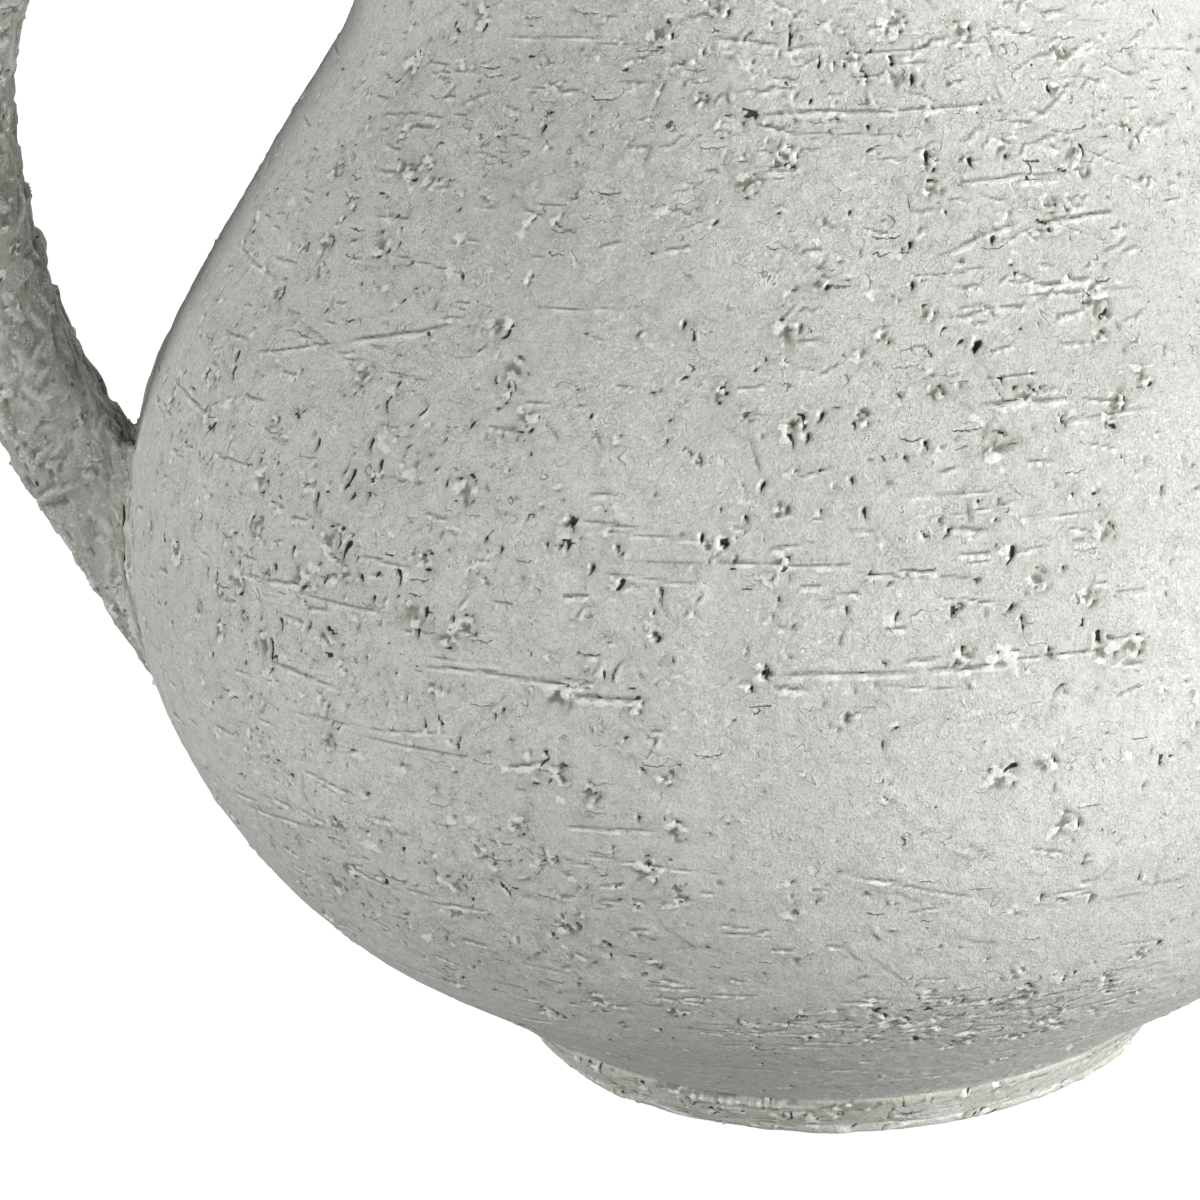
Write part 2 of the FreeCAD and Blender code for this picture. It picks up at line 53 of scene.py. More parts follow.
BELLY_RADIUS = 150.0
BELLY_HEIGHT = 115.5
WALL = 9.0
LOWER_CURVE_SHARE = 0.945
UPPER_CURVE_RADIUS = 105.7
SHOULDER_LEAN = 34.6
NECK_SWEEP_RADIUS = 46.0
NECK_RADIUS = 90.5
NECK_LENGTH = 40.0
FOOT_RADIUS = 77.0
FOOT_HEIGHT = 11.5
FOOT_TAPER = 5.4
FOOT_INNER_RADIUS = 58.0
FOOT_SOLE_ROUND = 3.0
FOOT_CREASE = 2.0
DOME_EDGE_RADIUS = 20.0
DOME_EDGE_TURN = 68.0
MOUTH_BORE_RADIUS = 17.0
COLLAR_RADIUS = 27.0
COLLAR_HEIGHT = 24.0
LIP_HEIGHT = 12.0
LIP_ROUND = 4.0
MOUTH_COIL_WIDTH = 9.0
MOUTH_COIL_HEIGHT = 9.0
SPOUT_SEAT_SHARE = 0.55
SPOUT_LIFT = 44.0
SPOUT_LENGTH = 86.4
SPOUT_ROOT_RADIUS = 21.0
SPOUT_TIP_RADIUS = 8.5
SPOUT_BORE_RADIUS = 12.0
SPOUT_BORE_STRAIGHT = 14.0
SPOUT_TIP_BORE_RADIUS = 3.0
SPOUT_BEAD_RADIUS = 11.0
SPOUT_BEAD_LENGTH = 9.0
SPOUT_BEAD_ROUND = 3.0
HANDLE_ROOT_RISE = 2.7
HANDLE_LEAN = 26.0
HANDLE_STAND_OFF = 27.0
HANDLE_BEND_RADIUS = 150.0
HANDLE_TURN_SHARE = 0.93
HANDLE_SEAT_RISE = 20.0
HANDLE_THICKNESS = 21.0
HANDLE_WIDTH = 30.0
HANDLE_EDGE_ROUND = 8.5
HANDLE_OVERRUN = 40.0
HANDLE_HEAD_DEPTH = 22.0

# The camera of the photograph
FRAME_PIXELS = 1200
FOCAL_PIXELS = 3200.0
SENSOR = 36.0
CAMERA_DISTANCE = 669.3
CAMERA_HEIGHT = 321.2
CAMERA_TURN = -7.0
CAMERA_YAW = -4.289
CAMERA_PITCH = 18.578
CAMERA_ROLL = -3.111
CAMERA_CLIP = 0.01


def wave(angle):
    """Cosine and sine of an angle in degrees."""
    return np.cos(np.radians(angle)), np.sin(np.radians(angle))


# ---------------------------------------------------------------- camera


def turned(vector, angle):
    c, s = wave(angle)
    return np.array([vector[0] * c - vector[1] * s, vector[0] * s + vector[1] * c, vector[2]])


def camera_axes():
    """Where the camera stands, and its right, up and forward directions."""
    yaw_c, yaw_s = wave(CAMERA_YAW)
    pitch_c, pitch_s = wave(CAMERA_PITCH)
    roll_c, roll_s = wave(CAMERA_ROLL)
    forward = np.array([yaw_s * pitch_c, yaw_c * pitch_c, -pitch_s])
    level = np.array([yaw_c, -yaw_s, 0.0])
    above = np.cross(level, forward)
    right = roll_c * level + roll_s * above
    up = roll_c * above - roll_s * level
    place = np.array([0.0, -CAMERA_DISTANCE, CAMERA_HEIGHT])
    return [turned(v, CAMERA_TURN) for v in (place, right, up, forward)]


def add_camera():
    place, right, up, forward = camera_axes()
    data = bpy.data.cameras.new("camera")
    data.sensor_width = SENSOR
    data.lens = SENSOR * FOCAL_PIXELS / FRAME_PIXELS
    data.clip_start = CAMERA_CLIP
    camera = bpy.data.objects.new("camera", data)
    rows = [[right[k], up[k], -forward[k], place[k] * MM] for k in range(3)]
    camera.matrix_world = Matrix(rows + [[0.0, 0.0, 0.0, 1.0]])
    bpy.context.scene.collection.objects.link(camera)
    bpy.context.scene.camera = camera


# ---------------------------------------------------------------- profiles

PROFILE_STEP = 0.1


def straight(start, end):
    """A straight stretch of a profile. Its outward side is on the right of its way."""
    run = np.subtract(end, start)
    length = float(np.hypot(*run))
    share = np.linspace(0, 1, max(2, int(length / PROFILE_STEP)))[:, None]
    outward = np.array([run[1], -run[0]]) / length
    return np.array(start) + share * run, np.tile(outward, (len(share), 1))


def round_run(centre, radius, first, last, hollow=False):
    """A round stretch of a profile, between two angles of its outward direction."""
    length = abs(math.radians(last - first)) * radius
    angle = np.linspace(first, last, max(3, int(length / PROFILE_STEP)))
    outward = np.stack(wave(angle), 1)
    return np.array(centre) + (-radius if hollow else radius) * outward, outward


class Profile:
    """Stretches joined into one outline, read by the length along it."""

    def __init__(self, *runs):
        self.points = np.concatenate([run[0] for run in runs])
        self.outward = np.concatenate([run[1] for run in runs])
        steps = np.hypot(*np.diff(self.points, axis=0).T)
        self.along = np.concatenate([[0.0], np.cumsum(steps)])
        self.ends = np.cumsum([len(run[0]) for run in runs]) - 1
        self.length = self.along[-1]

    def end_of(self, number):
        """Length along the outline at the end of a stretch."""
        return self.along[self.ends[number]]

    def at(self, along):
        """The places and the outward directions at lengths along the outline."""
        place, out = (np.stack([np.interp(along, self.along, values[:, k]) for k in (0, 1)], -1)
                      for values in (self.points, self.outward))
        return place, out / np.hypot(out[..., 0], out[..., 1])[..., None]


lower_radius = LOWER_CURVE_SHARE * (BELLY_HEIGHT - FOOT_HEIGHT)
lower_centre = (BELLY_RADIUS - lower_radius, BELLY_HEIGHT)
foot_out, foot_down = FOOT_RADIUS - lower_centre[0], BELLY_HEIGHT - FOOT_HEIGHT
LOWER_LEAN = (90 - math.degrees(math.acos(lower_radius / math.hypot(foot_out, foot_down)))
              - math.degrees(math.atan(foot_out / foot_down)))
lean_c, lean_s = wave(SHOULDER_LEAN)
arcs_run = (UPPER_CURVE_RADIUS + NECK_SWEEP_RADIUS) * (1 - lean_c)
shoulder_length = (BELLY_RADIUS - NECK_RADIUS - arcs_run) / lean_s
upper_centre = (BELLY_RADIUS - UPPER_CURVE_RADIUS, BELLY_HEIGHT)
neck_start = (BELLY_HEIGHT + (UPPER_CURVE_RADIUS + NECK_SWEEP_RADIUS) * lean_s
              + shoulder_length * lean_c)
neck_top = neck_start + NECK_LENGTH
sweep_centre = (NECK_RADIUS + NECK_SWEEP_RADIUS, neck_start)
edge_centre = (NECK_RADIUS - DOME_EDGE_RADIUS, neck_top)
edge_c, edge_s = wave(DOME_EDGE_TURN)
dome_centre = (0.0, neck_top - edge_centre[0] * edge_s / edge_c)
dome_radius = DOME_EDGE_RADIUS + edge_centre[0] / edge_c


def dome_height(across):
    return dome_centre[1] + math.sqrt(dome_radius ** 2 - across ** 2)


def wall_profile(depth):
    """The vessel's skin from the foot to the neck, or the inner face at a depth under it."""
    turn_c, turn_s = wave(-LOWER_LEAN)
    flank_top = (lower_centre[0] + lower_radius * turn_c, BELLY_HEIGHT + lower_radius * turn_s)
    foot = (FOOT_RADIUS, FOOT_HEIGHT)
    if depth:
        slope = (flank_top[0] - foot[0]) / (flank_top[1] - foot[1])
        flank_top = (flank_top[0] - depth * turn_c, flank_top[1] - depth * turn_s)
        foot = (flank_top[0] - slope * (flank_top[1] - FOOT_HEIGHT), FOOT_HEIGHT)
    shoulder = (upper_centre[0] + (UPPER_CURVE_RADIUS - depth) * lean_c,
                BELLY_HEIGHT + (UPPER_CURVE_RADIUS - depth) * lean_s)
    sweep = (sweep_centre[0] - (NECK_SWEEP_RADIUS + depth) * lean_c,
             neck_start - (NECK_SWEEP_RADIUS + depth) * lean_s)
    return Profile(
        straight(foot, flank_top),
        round_run(lower_centre, lower_radius - depth, -LOWER_LEAN, 0),
        round_run(upper_centre, UPPER_CURVE_RADIUS - depth, 0, SHOULDER_LEAN),
        straight(shoulder, sweep),
        round_run(sweep_centre, NECK_SWEEP_RADIUS + depth, SHOULDER_LEAN, 0, hollow=True),
    )


def top_profile(depth, bore):
    """The neck band and the dome above it, to the foot of the mouth's collar."""
    side = NECK_RADIUS - depth
    last = math.degrees(math.acos(bore / (dome_radius - depth)))
    return Profile(
        straight((side, neck_start), (side, neck_top)),
        round_run(edge_centre, DOME_EDGE_RADIUS - depth, 0, DOME_EDGE_TURN),
        round_run(dome_centre, dome_radius - depth, DOME_EDGE_TURN, last),
    )


OUTER_SKIN = wall_profile(0)
INNER_SKIN = wall_profile(WALL)


# ---------------------------------------------------------------- relief


def spline_weights(places, knots, closed):
    """How much each knot of an even cubic spline counts at each place. Places run from 0 to 1."""
    spot = np.asarray(places) * (knots if closed else knots - 3)
    first = np.floor(spot).astype(int)
    t = spot - first
    parts = ((1 - t) ** 3 / 6, (3 * t ** 3 - 6 * t ** 2 + 4) / 6,
             (-3 * t ** 3 + 3 * t ** 2 + 3 * t + 1) / 6, t ** 3 / 6)
    weights = np.zeros((len(spot), knots))
    for k, part in enumerate(parts):
        knot = (first + k) % knots if closed else np.clip(first + k, 0, knots - 1)
        np.add.at(weights, (np.arange(len(spot)), knot), part)
    return weights


def smooth_step(value, low, high):
    t = np.clip((value - low) / (high - low), 0, 1)
    return t * t * (3 - 2 * t)


def own_axes(across, along, angle):
    """Offsets from a mark's middle, along its own length and across it."""
    c, s = wave(angle)
    return across * c + along * s, along * c - across * s


def distance_to_line(across, along, points):
    """Distance to a bent line, how far along it the nearest point is, and on which side it lies."""
    best, share, side = np.inf, 0.0, 0.0
    for k in range(len(points) - 1):
        (x0, y0), (x1, y1) = points[k], points[k + 1]
        dx, dy = x1 - x0, y1 - y0
        square = dx * dx + dy * dy + 1e-9
        t = np.clip(((across - x0) * dx + (along - y0) * dy) / square, 0, 1)
        gap_x, gap_y = across - x0 - t * dx, along - y0 - t * dy
        gap = np.hypot(gap_x, gap_y)
        nearer = gap < best
        share = np.where(nearer, (k + t) / (len(points) - 1), share)
        side = np.where(nearer, np.sign(dx * gap_y - dy * gap_x), side)
        best = np.where(nearer, gap, best)
    return best, share, side


class Skin:
    """A surface as a grid. Columns go round it and rows along it. It holds a height and the stains.

    The grid has spare columns at both ends, which repeat the other end, so that a mark can cross
    the place where the columns meet. A place is a turn and a length along the rows."""

    SPARE = 24
    PLAIN_TORN = 0.25

    def __init__(self, columns, rows, around, reach):
        self.around = around
        self.first = columns[0]
        self.columns = np.concatenate([columns[-self.SPARE:] - around, columns,
                                       columns[:self.SPARE] + around])
        self.rows = rows
        self.reach = np.broadcast_to(reach, rows.shape).astype(float)
        self.shape = (len(rows), len(self.columns))
        self.height, self.dark, self.light, self.warm, self.shade = np.zeros((5, *self.shape))
        self.torn = np.full(self.shape, self.PLAIN_TORN)

    def near(self, turn):
        """The same turn, counted from the first column."""
        return self.first + (turn - self.first) % self.around

    def noise(self, across, along, seed):
        """Smooth random hills, as wide and as long as the two lengths say, about -1 to 1."""
        widest = self.around * self.reach.max()
        run = self.rows[-1] - self.rows[0]
        knots = (max(4, round(run / along) + 3), max(4, round(widest / across)))
        hills = np.random.default_rng(seed).normal(size=knots) * 1.5
        up = spline_weights((self.rows - self.rows[0]) / run * 0.9999, knots[0], False)
        round_it = spline_weights((self.columns / self.around) % 1.0, knots[1], True)
        return up @ hills @ round_it.T

    def windows(self, place, half_across, half_along):
        """The grid near a place, and again where it comes round: its index and offsets."""
        reach = np.interp(place[1], self.rows, self.reach)
        i = np.searchsorted(self.rows, (place[1] - half_along, place[1] + half_along))
        wide = half_across / reach
        for turn in (place[0] - self.around, place[0], place[0] + self.around):
            j = np.searchsorted(self.columns, (turn - wide, turn + wide))
            if i[1] > i[0] and j[1] > j[0]:
                spot = (slice(i[0], i[1]), slice(j[0], j[1]))
                across = (self.columns[spot[1]] - turn)[None, :] * reach
                yield spot, across, (self.rows[spot[0]] - place[1])[:, None]

    def oval(self, place, half):
        """How far each point lies from a place, squared, in half sizes of an oval area."""
        turn = (self.columns - self.near(place[0]))[None, :] / half[0]
        return turn ** 2 + ((self.rows - place[1])[:, None] / half[1]) ** 2

    def stain(self, layer, spot, amount):
        layer[spot] = np.maximum(layer[spot], amount)

    def slit(self, place, points, width, depth, dark=1.0, warm=0.0, lip=0.0):
        """A cut along a bent line, widest near its far end, with a raised lip on one side."""
        points = np.asarray(points, float)
        half = np.abs(points).max(0) + width * 4 + 0.8
        broad = max(width, 0.40)
        for spot, across, along in self.windows(place, half[0], half[1]):
            gap, share, side = distance_to_line(across, along, points)
            taper = 0.22 + (0.78 * np.clip(share * 1.25, 0, 1) ** 1.3
                            * np.clip((1 - share) * 9, 0, 1) ** 0.5)
            cut = np.exp(-(gap / (broad * (0.55 + 0.45 * taper))) ** 2)
            self.height[spot] -= depth * cut * taper
            if lip:
                bank = np.exp(-((gap - 1.9 * broad) / (1.1 * broad)) ** 2) * (side > 0) * taper
                self.height[spot] += lip * bank
                self.stain(self.light, spot, np.minimum(0.9, 4.5 * lip) * bank)
            # The dark share is painted shadow in the cut
            if dark:
                thin = min(1.0, 0.55 + 0.9 * width)
                self.stain(self.dark, spot, dark * cut * (0.5 + 0.5 * taper) * thin)
            if warm:
                self.stain(self.warm, spot, warm * np.exp(-(gap / (broad * 3.0)) ** 2))

    def straw(self, place, points, width, height, light=0.8, shade=0.3, blunt=False):
        """A raised thread that a straw or a grain left, with a groove on its upper side."""
        points = np.asarray(points, float)
        half = np.abs(points).max(0) + width * 4 + 0.6
        beat, lag = among(5, 30), among(0, 6)
        for spot, across, along in self.windows(place, half[0], half[1]):
            gap, share, side = distance_to_line(across, along, points)
            ends = np.clip(1 - (2 * share - 1) ** (8 if blunt else 4), 0, 1)
            uneven = 0.78 + 0.22 * np.sin(share * beat + lag)
            swell = 1.25 * uneven + 0.2 * np.sin(2.7 * beat * share)
            ridge = np.exp(-(gap / (width * swell)) ** (4 if blunt else 2)) * ends
            groove = np.exp(-((gap - 1.9 * width) / width) ** 2) * (side > 0) * ends
            self.height[spot] += height * ridge * uneven - 0.7 * height * groove
            self.stain(self.light, spot, light * ridge * uneven)
            # Painted shadow in the groove, and in the shade layer painted light on the ridge and
            # painted shade in the groove
            self.stain(self.dark, spot, shade * groove * uneven)
            self.shade[spot] += 0.4 * ridge - 0.5 * groove

    def pit(self, place, size, stretch, angle, depth, dark=0.9, warm=0.0, ragged=0.25):
        """A small hole with a ragged edge."""
        turns = among(0, 6.28, 3)
        half = size * stretch * 2.2 + 0.8
        for spot, across, along in self.windows(place, half, half):
            x, y = own_axes(across, along, angle)
            x /= stretch
            bearing = np.arctan2(y, x)
            waves = sum(np.sin((k + 2) * bearing + turns[k]) for k in range(3))
            gap = np.hypot(x, y) / (size * (1 + ragged * waves * 0.6))
            rim = np.exp(-((gap - 1.35) / 0.35) ** 2)
            self.height[spot] += rim * depth * 0.16 - depth * (1 - smooth_step(gap, 0.35, 1.15))
            # The dark share is painted shade in the hole
            if dark:
                self.stain(self.dark, spot, dark * (1 - smooth_step(gap, 0.35, 0.95)))
            if warm:
                self.stain(self.warm, spot, warm * np.exp(-(gap / 1.3) ** 2))

    def flake(self, place, size, stretch, angle, height, light=0.5):
        """A low chip of clay that stands proud of the surface, steeper on one side."""
        turns = among(0, 6.28, 2)
        half = size * stretch * 1.8
        for spot, across, along in self.windows(place, half, half):
            x, y = own_axes(across, along, angle)
            x /= stretch
            bearing = np.arctan2(y, x)
            waves = 0.22 * np.sin(3 * bearing + turns[0]) + 0.16 * np.sin(5 * bearing + turns[1])
            body = 1 - smooth_step(np.hypot(x, y) / (size * (1 + waves)), 0.55, 1.1)
            self.height[spot] += height * body * (0.65 + 0.35 * np.clip(x / size, -1, 1))
            self.stain(self.light, spot, light * body)

    def smear(self, place, size, stretch, angle, height, tilt):
        """A patch of clay pressed on by a finger: a tilted plate with an edge that shows."""
        half = size * stretch * 1.2
        for spot, across, along in self.windows(place, half, half):
            x, y = own_axes(across, along, angle)
            x, y = x / (size * stretch), y / size
            gap = x * x + y * y
            plate = height * (1 - gap ** 4) + tilt[0] * x + tilt[1] * y
            self.height[spot] = np.where(gap < 1, np.maximum(self.height[spot], plate),
                                         self.height[spot])

    def fade_ends(self, low, high):
        """Takes the relief away toward the first and the last row, over two lengths."""
        first, last = self.rows[0], self.rows[-1]
        ends = smooth_step(self.rows, first, first + low)
        self.height *= (ends * (1 - smooth_step(self.rows, last - high, last)))[:, None]

    def finish(self, reach=5, strength=0.22):
        """The height and the stains without spare columns, with painted shade in hollows and
        painted light on raised places.
        """
        soft = self.height.copy()
        for _ in range(reach):
            soft = (np.roll(soft, 1, 1) + 2 * soft + np.roll(soft, -1, 1)) / 4
            padded = np.pad(soft, ((1, 1), (0, 0)), mode="edge")
            soft = (padded[:-2] + 2 * padded[1:-1] + padded[2:]) / 4
        gap = (self.height - soft) / strength
        over, under = np.clip(gap, 0, 1), np.clip(-gap, 0, 1)
        self.shade = np.clip(self.shade + 0.7 * over ** 1.3 - 0.9 * under ** 1.3, -1, 1)
        layers = (self.dark, self.light, self.warm, self.torn, self.shade)
        core = slice(self.SPARE, -self.SPARE)
        return self.height[:, core], np.stack([layer[:, core] for layer in layers], -1)


def bent(length, angle, bend, count=5):
    """Points of a short bent line about its middle."""
    c, s = wave(angle)
    t = np.linspace(-0.5, 0.5, count)
    x, y = t * length, bend * length * (0.25 - t * t)
    return np.stack([x * c - y * s, x * s + y * c], 1)


def wander(length, angle, swing, count=7):
    """Points of a line that wanders a little from side to side."""
    c, s = wave(angle)
    x = np.linspace(-0.5, 0.5, count) * length
    y = np.cumsum(sway(size=count)) * swing
    y -= y.mean()
    return np.stack([x * c - y * s, x * s + y * c], 1)


# ---------------------------------------------------------------- materials


def linear(red, green, blue):
    """A colour as seen on a screen, from 0 to 255, in the shader's own values."""
    def one(value):
        share = value / 255
        return share / 12.92 if share <= 0.04045 else ((share + 0.055) / 1.055) ** 2.4
    return one(red), one(green), one(blue), 1.0


class Nodes:
    """Short names for building a material's nodes."""

    def __init__(self, tree):
        self.tree = tree

    def add(self, kind, **values):
        node = self.tree.nodes.new(kind)
        for name, value in values.items():
            if hasattr(node, name):
                setattr(node, name, value)
            else:
                node.inputs[name].default_value = value
        return node

    def link(self, output, target):
        self.tree.links.new(output, target)

    def fill(self, socket, value):
        """Gives a socket a value of its own, or links an output to it."""
        if isinstance(value, (int, float, tuple)):
            socket.default_value = value
        else:
            self.link(value, socket)

    def noise(self, place, scale, detail=2.0, rough=0.5):
        node = self.add("ShaderNodeTexNoise", Scale=scale, Detail=detail, Roughness=rough)
        self.link(place, node.inputs["Vector"])
        return node.outputs["Fac"]

    def ramp(self, value, low, high, start=0.0, end=1.0):
        node = self.add("ShaderNodeMapRange", interpolation_type="SMOOTHSTEP")
        for name, given in (("Value", value), ("From Min", low), ("From Max", high),
                            ("To Min", start), ("To Max", end)):
            self.fill(node.inputs[name], given)
        return node.outputs["Result"]

    def math(self, operation, *values):
        node = self.add("ShaderNodeMath", operation=operation)
        for socket, value in zip(node.inputs, values):
            self.fill(socket, value)
        return node.outputs["Value"]

    def plus(self, first, second):
        return self.math("ADD", first, second)

    def less(self, first, second):
        return self.math("SUBTRACT", first, second)

    def times(self, first, second):
        return self.math("MULTIPLY", first, second)

    def most(self, first, *others):
        for other in others:
            first = self.math("MAXIMUM", first, other)
        return first

    def mix(self, share, first, second):
        node = self.add("ShaderNodeMix", data_type="RGBA")
        for number, value in ((0, share), (6, first), (7, second)):
            self.fill(node.inputs[number], value)
        return node.outputs[2]


PALE_CLAY_AND_HIGHLIGHT = linear(247, 248, 245)
CUT_SHADOW_CLAY = linear(46, 43, 34)
DENT_SHADOW_CLAY = linear(70, 67, 54)
WARM_CLAY = linear(158, 152, 131)
SHADE_CLAY = linear(96, 94, 82)
THREAD_SHADOW_CLAY = linear(96, 94, 80)
FINE_GRAIN_CLAY = linear(120, 121, 110)
COARSE_GRAIN_CLAY = linear(116, 117, 106)
WOBBLE = (0.0016, 0.0016, 0.0016)
BUMP_STRENGTH, BUMP_METRES = 0.85, 0.00045


def threads(n, place, torn, scale, width, low, high):
    """Thin broken lines where a noise crosses its middle, and the thin shadow beside each."""
    field = n.add("ShaderNodeTexNoise", Scale=scale, Detail=2.0, Roughness=0.6, Distortion=0.5)
    n.link(place, field.inputs["Vector"])
    patches = n.ramp(n.plus(n.noise(place, scale * 0.45, 3.0, 0.6), n.times(torn, 0.10)), low, high)
    found = []
    for middle, wide in ((0.5, width), (0.5 + 1.3 * width, 0.6 * width)):
        gap = n.math("ABSOLUTE", n.less(field.outputs["Fac"], middle))
        found.append(n.times(n.ramp(gap, 0.5 * wide, wide, 1.0, 0.0), patches))
    return found


def chips(n, place, torn, scale, chance, shift, stretch, biggest):
    """Chips with a crescent of painted shadow on one side: the painted shadows and the chips."""
    found = []
    for offset in ((0.0, 0.0, 0.0), shift):
        move = n.add("ShaderNodeMapping", Scale=stretch,
                     Location=tuple(o * s for o, s in zip(offset, stretch)))
        n.link(place, move.inputs["Vector"])
        cells = n.add("ShaderNodeTexVoronoi", Scale=scale, Randomness=1.0)
        n.link(move.outputs["Vector"], cells.inputs["Vector"])
        luck = n.add("ShaderNodeSeparateColor")
        n.link(cells.outputs["Color"], luck.inputs["Color"])
        chosen = n.plus(luck.outputs["Red"], n.times(torn, 0.34))
        size = n.ramp(chosen, 1.0 - chance, 1.2, 0.0, biggest)
        found.append(n.ramp(n.less(size, cells.outputs["Distance"]), 0.0, 0.035))
    shadow_crescent = n.times(found[0], n.less(1.0, found[1]))
    return n.times(shadow_crescent, luck.outputs["Green"]), found[1]


def clay(name, pale, deep, torn_more, grain):
    """Coarse unglazed clay: two tones, grain, specks, chips and torn threads, and the stains, with
    painted shadow in cuts and beside chips and painted light and shade from the shade layer.
    """
    material = bpy.data.materials.new(name)
    material.use_nodes = True
    tree = material.node_tree
    n = Nodes(tree)
    shader = tree.nodes["Principled BSDF"]
    shader.inputs["Specular IOR Level"].default_value = 0.2
    pale, deep = linear(*pale), linear(*deep)
    place = n.add("ShaderNodeTexCoord").outputs["Object"]
    stains_and_shade = n.add("ShaderNodeAttribute", attribute_name="stains_and_shade")
    shade = n.add("ShaderNodeAttribute", attribute_name="shade").outputs["Fac"]
    parts = n.add("ShaderNodeSeparateColor")
    n.link(stains_and_shade.outputs["Color"], parts.inputs["Color"])
    torn = n.plus(stains_and_shade.outputs["Alpha"], torn_more)
    warm = parts.outputs["Blue"]

    # The stains' and the chips' edges wobble, so that they look torn
    shake = n.add("ShaderNodeTexNoise", Scale=750.0, Detail=2.0)
    n.link(place, shake.inputs["Vector"])
    wobble = n.add("ShaderNodeVectorMath", operation="MULTIPLY_ADD")
    for socket, value in zip(wobble.inputs, (shake.outputs["Color"], WOBBLE, place)):
        n.fill(socket, value)
    wobbled = wobble.outputs["Vector"]
    ragged = n.times(n.less(shake.outputs["Fac"], 0.5), 0.9)
    dark = n.ramp(n.plus(parts.outputs["Red"], n.times(ragged, 0.35)), 0.40, 0.56)
    light = n.ramp(n.plus(parts.outputs["Green"], n.times(ragged, 0.8)), 0.36, 0.52)

    fine = n.noise(place, 2100.0, 2.0, 0.7)
    coarse = n.noise(place, 620.0, 4.0, 0.75)
    specks = n.times(n.ramp(n.noise(place, 1500.0, 2.0, 0.6), 0.58, 0.63),
                     n.ramp(n.noise(place, 55.0, 3.0), 0.46, 0.58, 0.08, 0.75))
    big, small = (threads(n, place, torn, *look) for look in (
        (170.0, 0.009, 0.53, 0.62), (390.0, 0.015, 0.52, 0.61)))
    curls, curl_shadows = n.most(big[0], small[0]), n.most(big[1], small[1])
    kinds = [chips(n, wobbled, torn, *look) for look in (
        (190.0, 0.17, (0.00035, 0.00015, -0.0001), (1.0, 1.0, 0.8), 0.24),
        (330.0, 0.20, (0.0002, 0.0001, -0.00022), (1.0, 1.0, 1.0), 0.26),
        (300.0, 0.16, (0.0, 0.0, -0.00025), (0.35, 0.35, 1.9), 0.30))]
    # The chips' crescents are painted shadow, and they also press the relief down
    shadowed_dents = n.most(*(dent for dent, _ in kinds))
    lumps = n.times(n.most(*(lump for _, lump in kinds)), n.ramp(coarse, 0.60, 0.40, 0.35, 1.0))

    colour = n.mix(n.ramp(n.noise(place, 16.0, 4.0, 0.55), 0.32, 0.68), deep, pale)
    for share, paint in (
        (n.times(n.ramp(n.noise(place, 110.0, 5.0, 0.65), 0.30, 0.70), 0.35), deep),
        (n.ramp(fine, 0.42, 0.66, 0.0, 0.30 * grain), FINE_GRAIN_CLAY),
        (n.ramp(coarse, 0.50, 0.70, 0.0, 0.24 * grain), COARSE_GRAIN_CLAY),
        (n.ramp(coarse, 0.45, 0.32, 0.0, 0.40 * grain), PALE_CLAY_AND_HIGHLIGHT),
        (n.times(specks, grain), PALE_CLAY_AND_HIGHLIGHT),
        (n.times(curls, 0.60), PALE_CLAY_AND_HIGHLIGHT),
        (n.times(curl_shadows, 0.55), THREAD_SHADOW_CLAY),
        (n.times(lumps, 0.60), PALE_CLAY_AND_HIGHLIGHT),
        # Painted shadow in the chips' crescents
        (n.times(shadowed_dents, 0.85), DENT_SHADOW_CLAY),
        (n.times(warm, 0.75), WARM_CLAY),
        # Painted shade and painted light from the shade layer, which also holds broad tones
        (n.ramp(shade, 0.0, -1.0, 0.0, 0.62), SHADE_CLAY),
        (n.ramp(shade, 0.0, 1.0, 0.0, 0.55), PALE_CLAY_AND_HIGHLIGHT),
        (n.times(light, n.ramp(coarse, 0.66, 0.42, 0.45, 0.95)), PALE_CLAY_AND_HIGHLIGHT),
        # The dark share: painted shadow in cuts, holes, grooves and the foot's crease
        (n.times(dark, 0.92), CUT_SHADOW_CLAY),
    ):
        colour = n.mix(share, colour, paint)
    n.link(colour, shader.inputs["Base Color"])
    rough = n.ramp(n.noise(place, 240.0, 3.0, 0.6), 0.3, 0.7, 0.80, 0.96)
    n.link(n.most(rough, dark), shader.inputs["Roughness"])

    relief = n.plus(n.times(fine, -0.5 * grain), n.times(coarse, -0.9 * grain))
    for mark, height in ((shadowed_dents, -0.7), (lumps, 0.35), (curls, 0.3)):
        relief = n.plus(relief, n.times(mark, height))
    bump = n.add("ShaderNodeBump", Strength=BUMP_STRENGTH, Distance=BUMP_METRES)
    n.link(relief, bump.inputs["Height"])
    n.link(bump.outputs["Normal"], shader.inputs["Normal"])
    return material


CLAYS = {name: clay(name, *look) for name, look in {
    # pale and deep tone, how much more torn than its stains say, and the strength of its grain
    "wall_clay": ((228, 230, 225), (215, 217, 211), 0.0, 1.0),
    "foot_clay": ((235, 234, 229), (222, 221, 213), -0.05, 0.9),
    "handle_clay": ((208, 209, 202), (178, 179, 170), 0.25, 1.1),
    "joint_clay": ((216, 216, 209), (198, 198, 188), 0.30, 1.1),
    "inner_clay": ((190, 189, 178), (164, 162, 150), -0.35, 0.8),
}.items()}


# ---------------------------------------------------------------- meshes


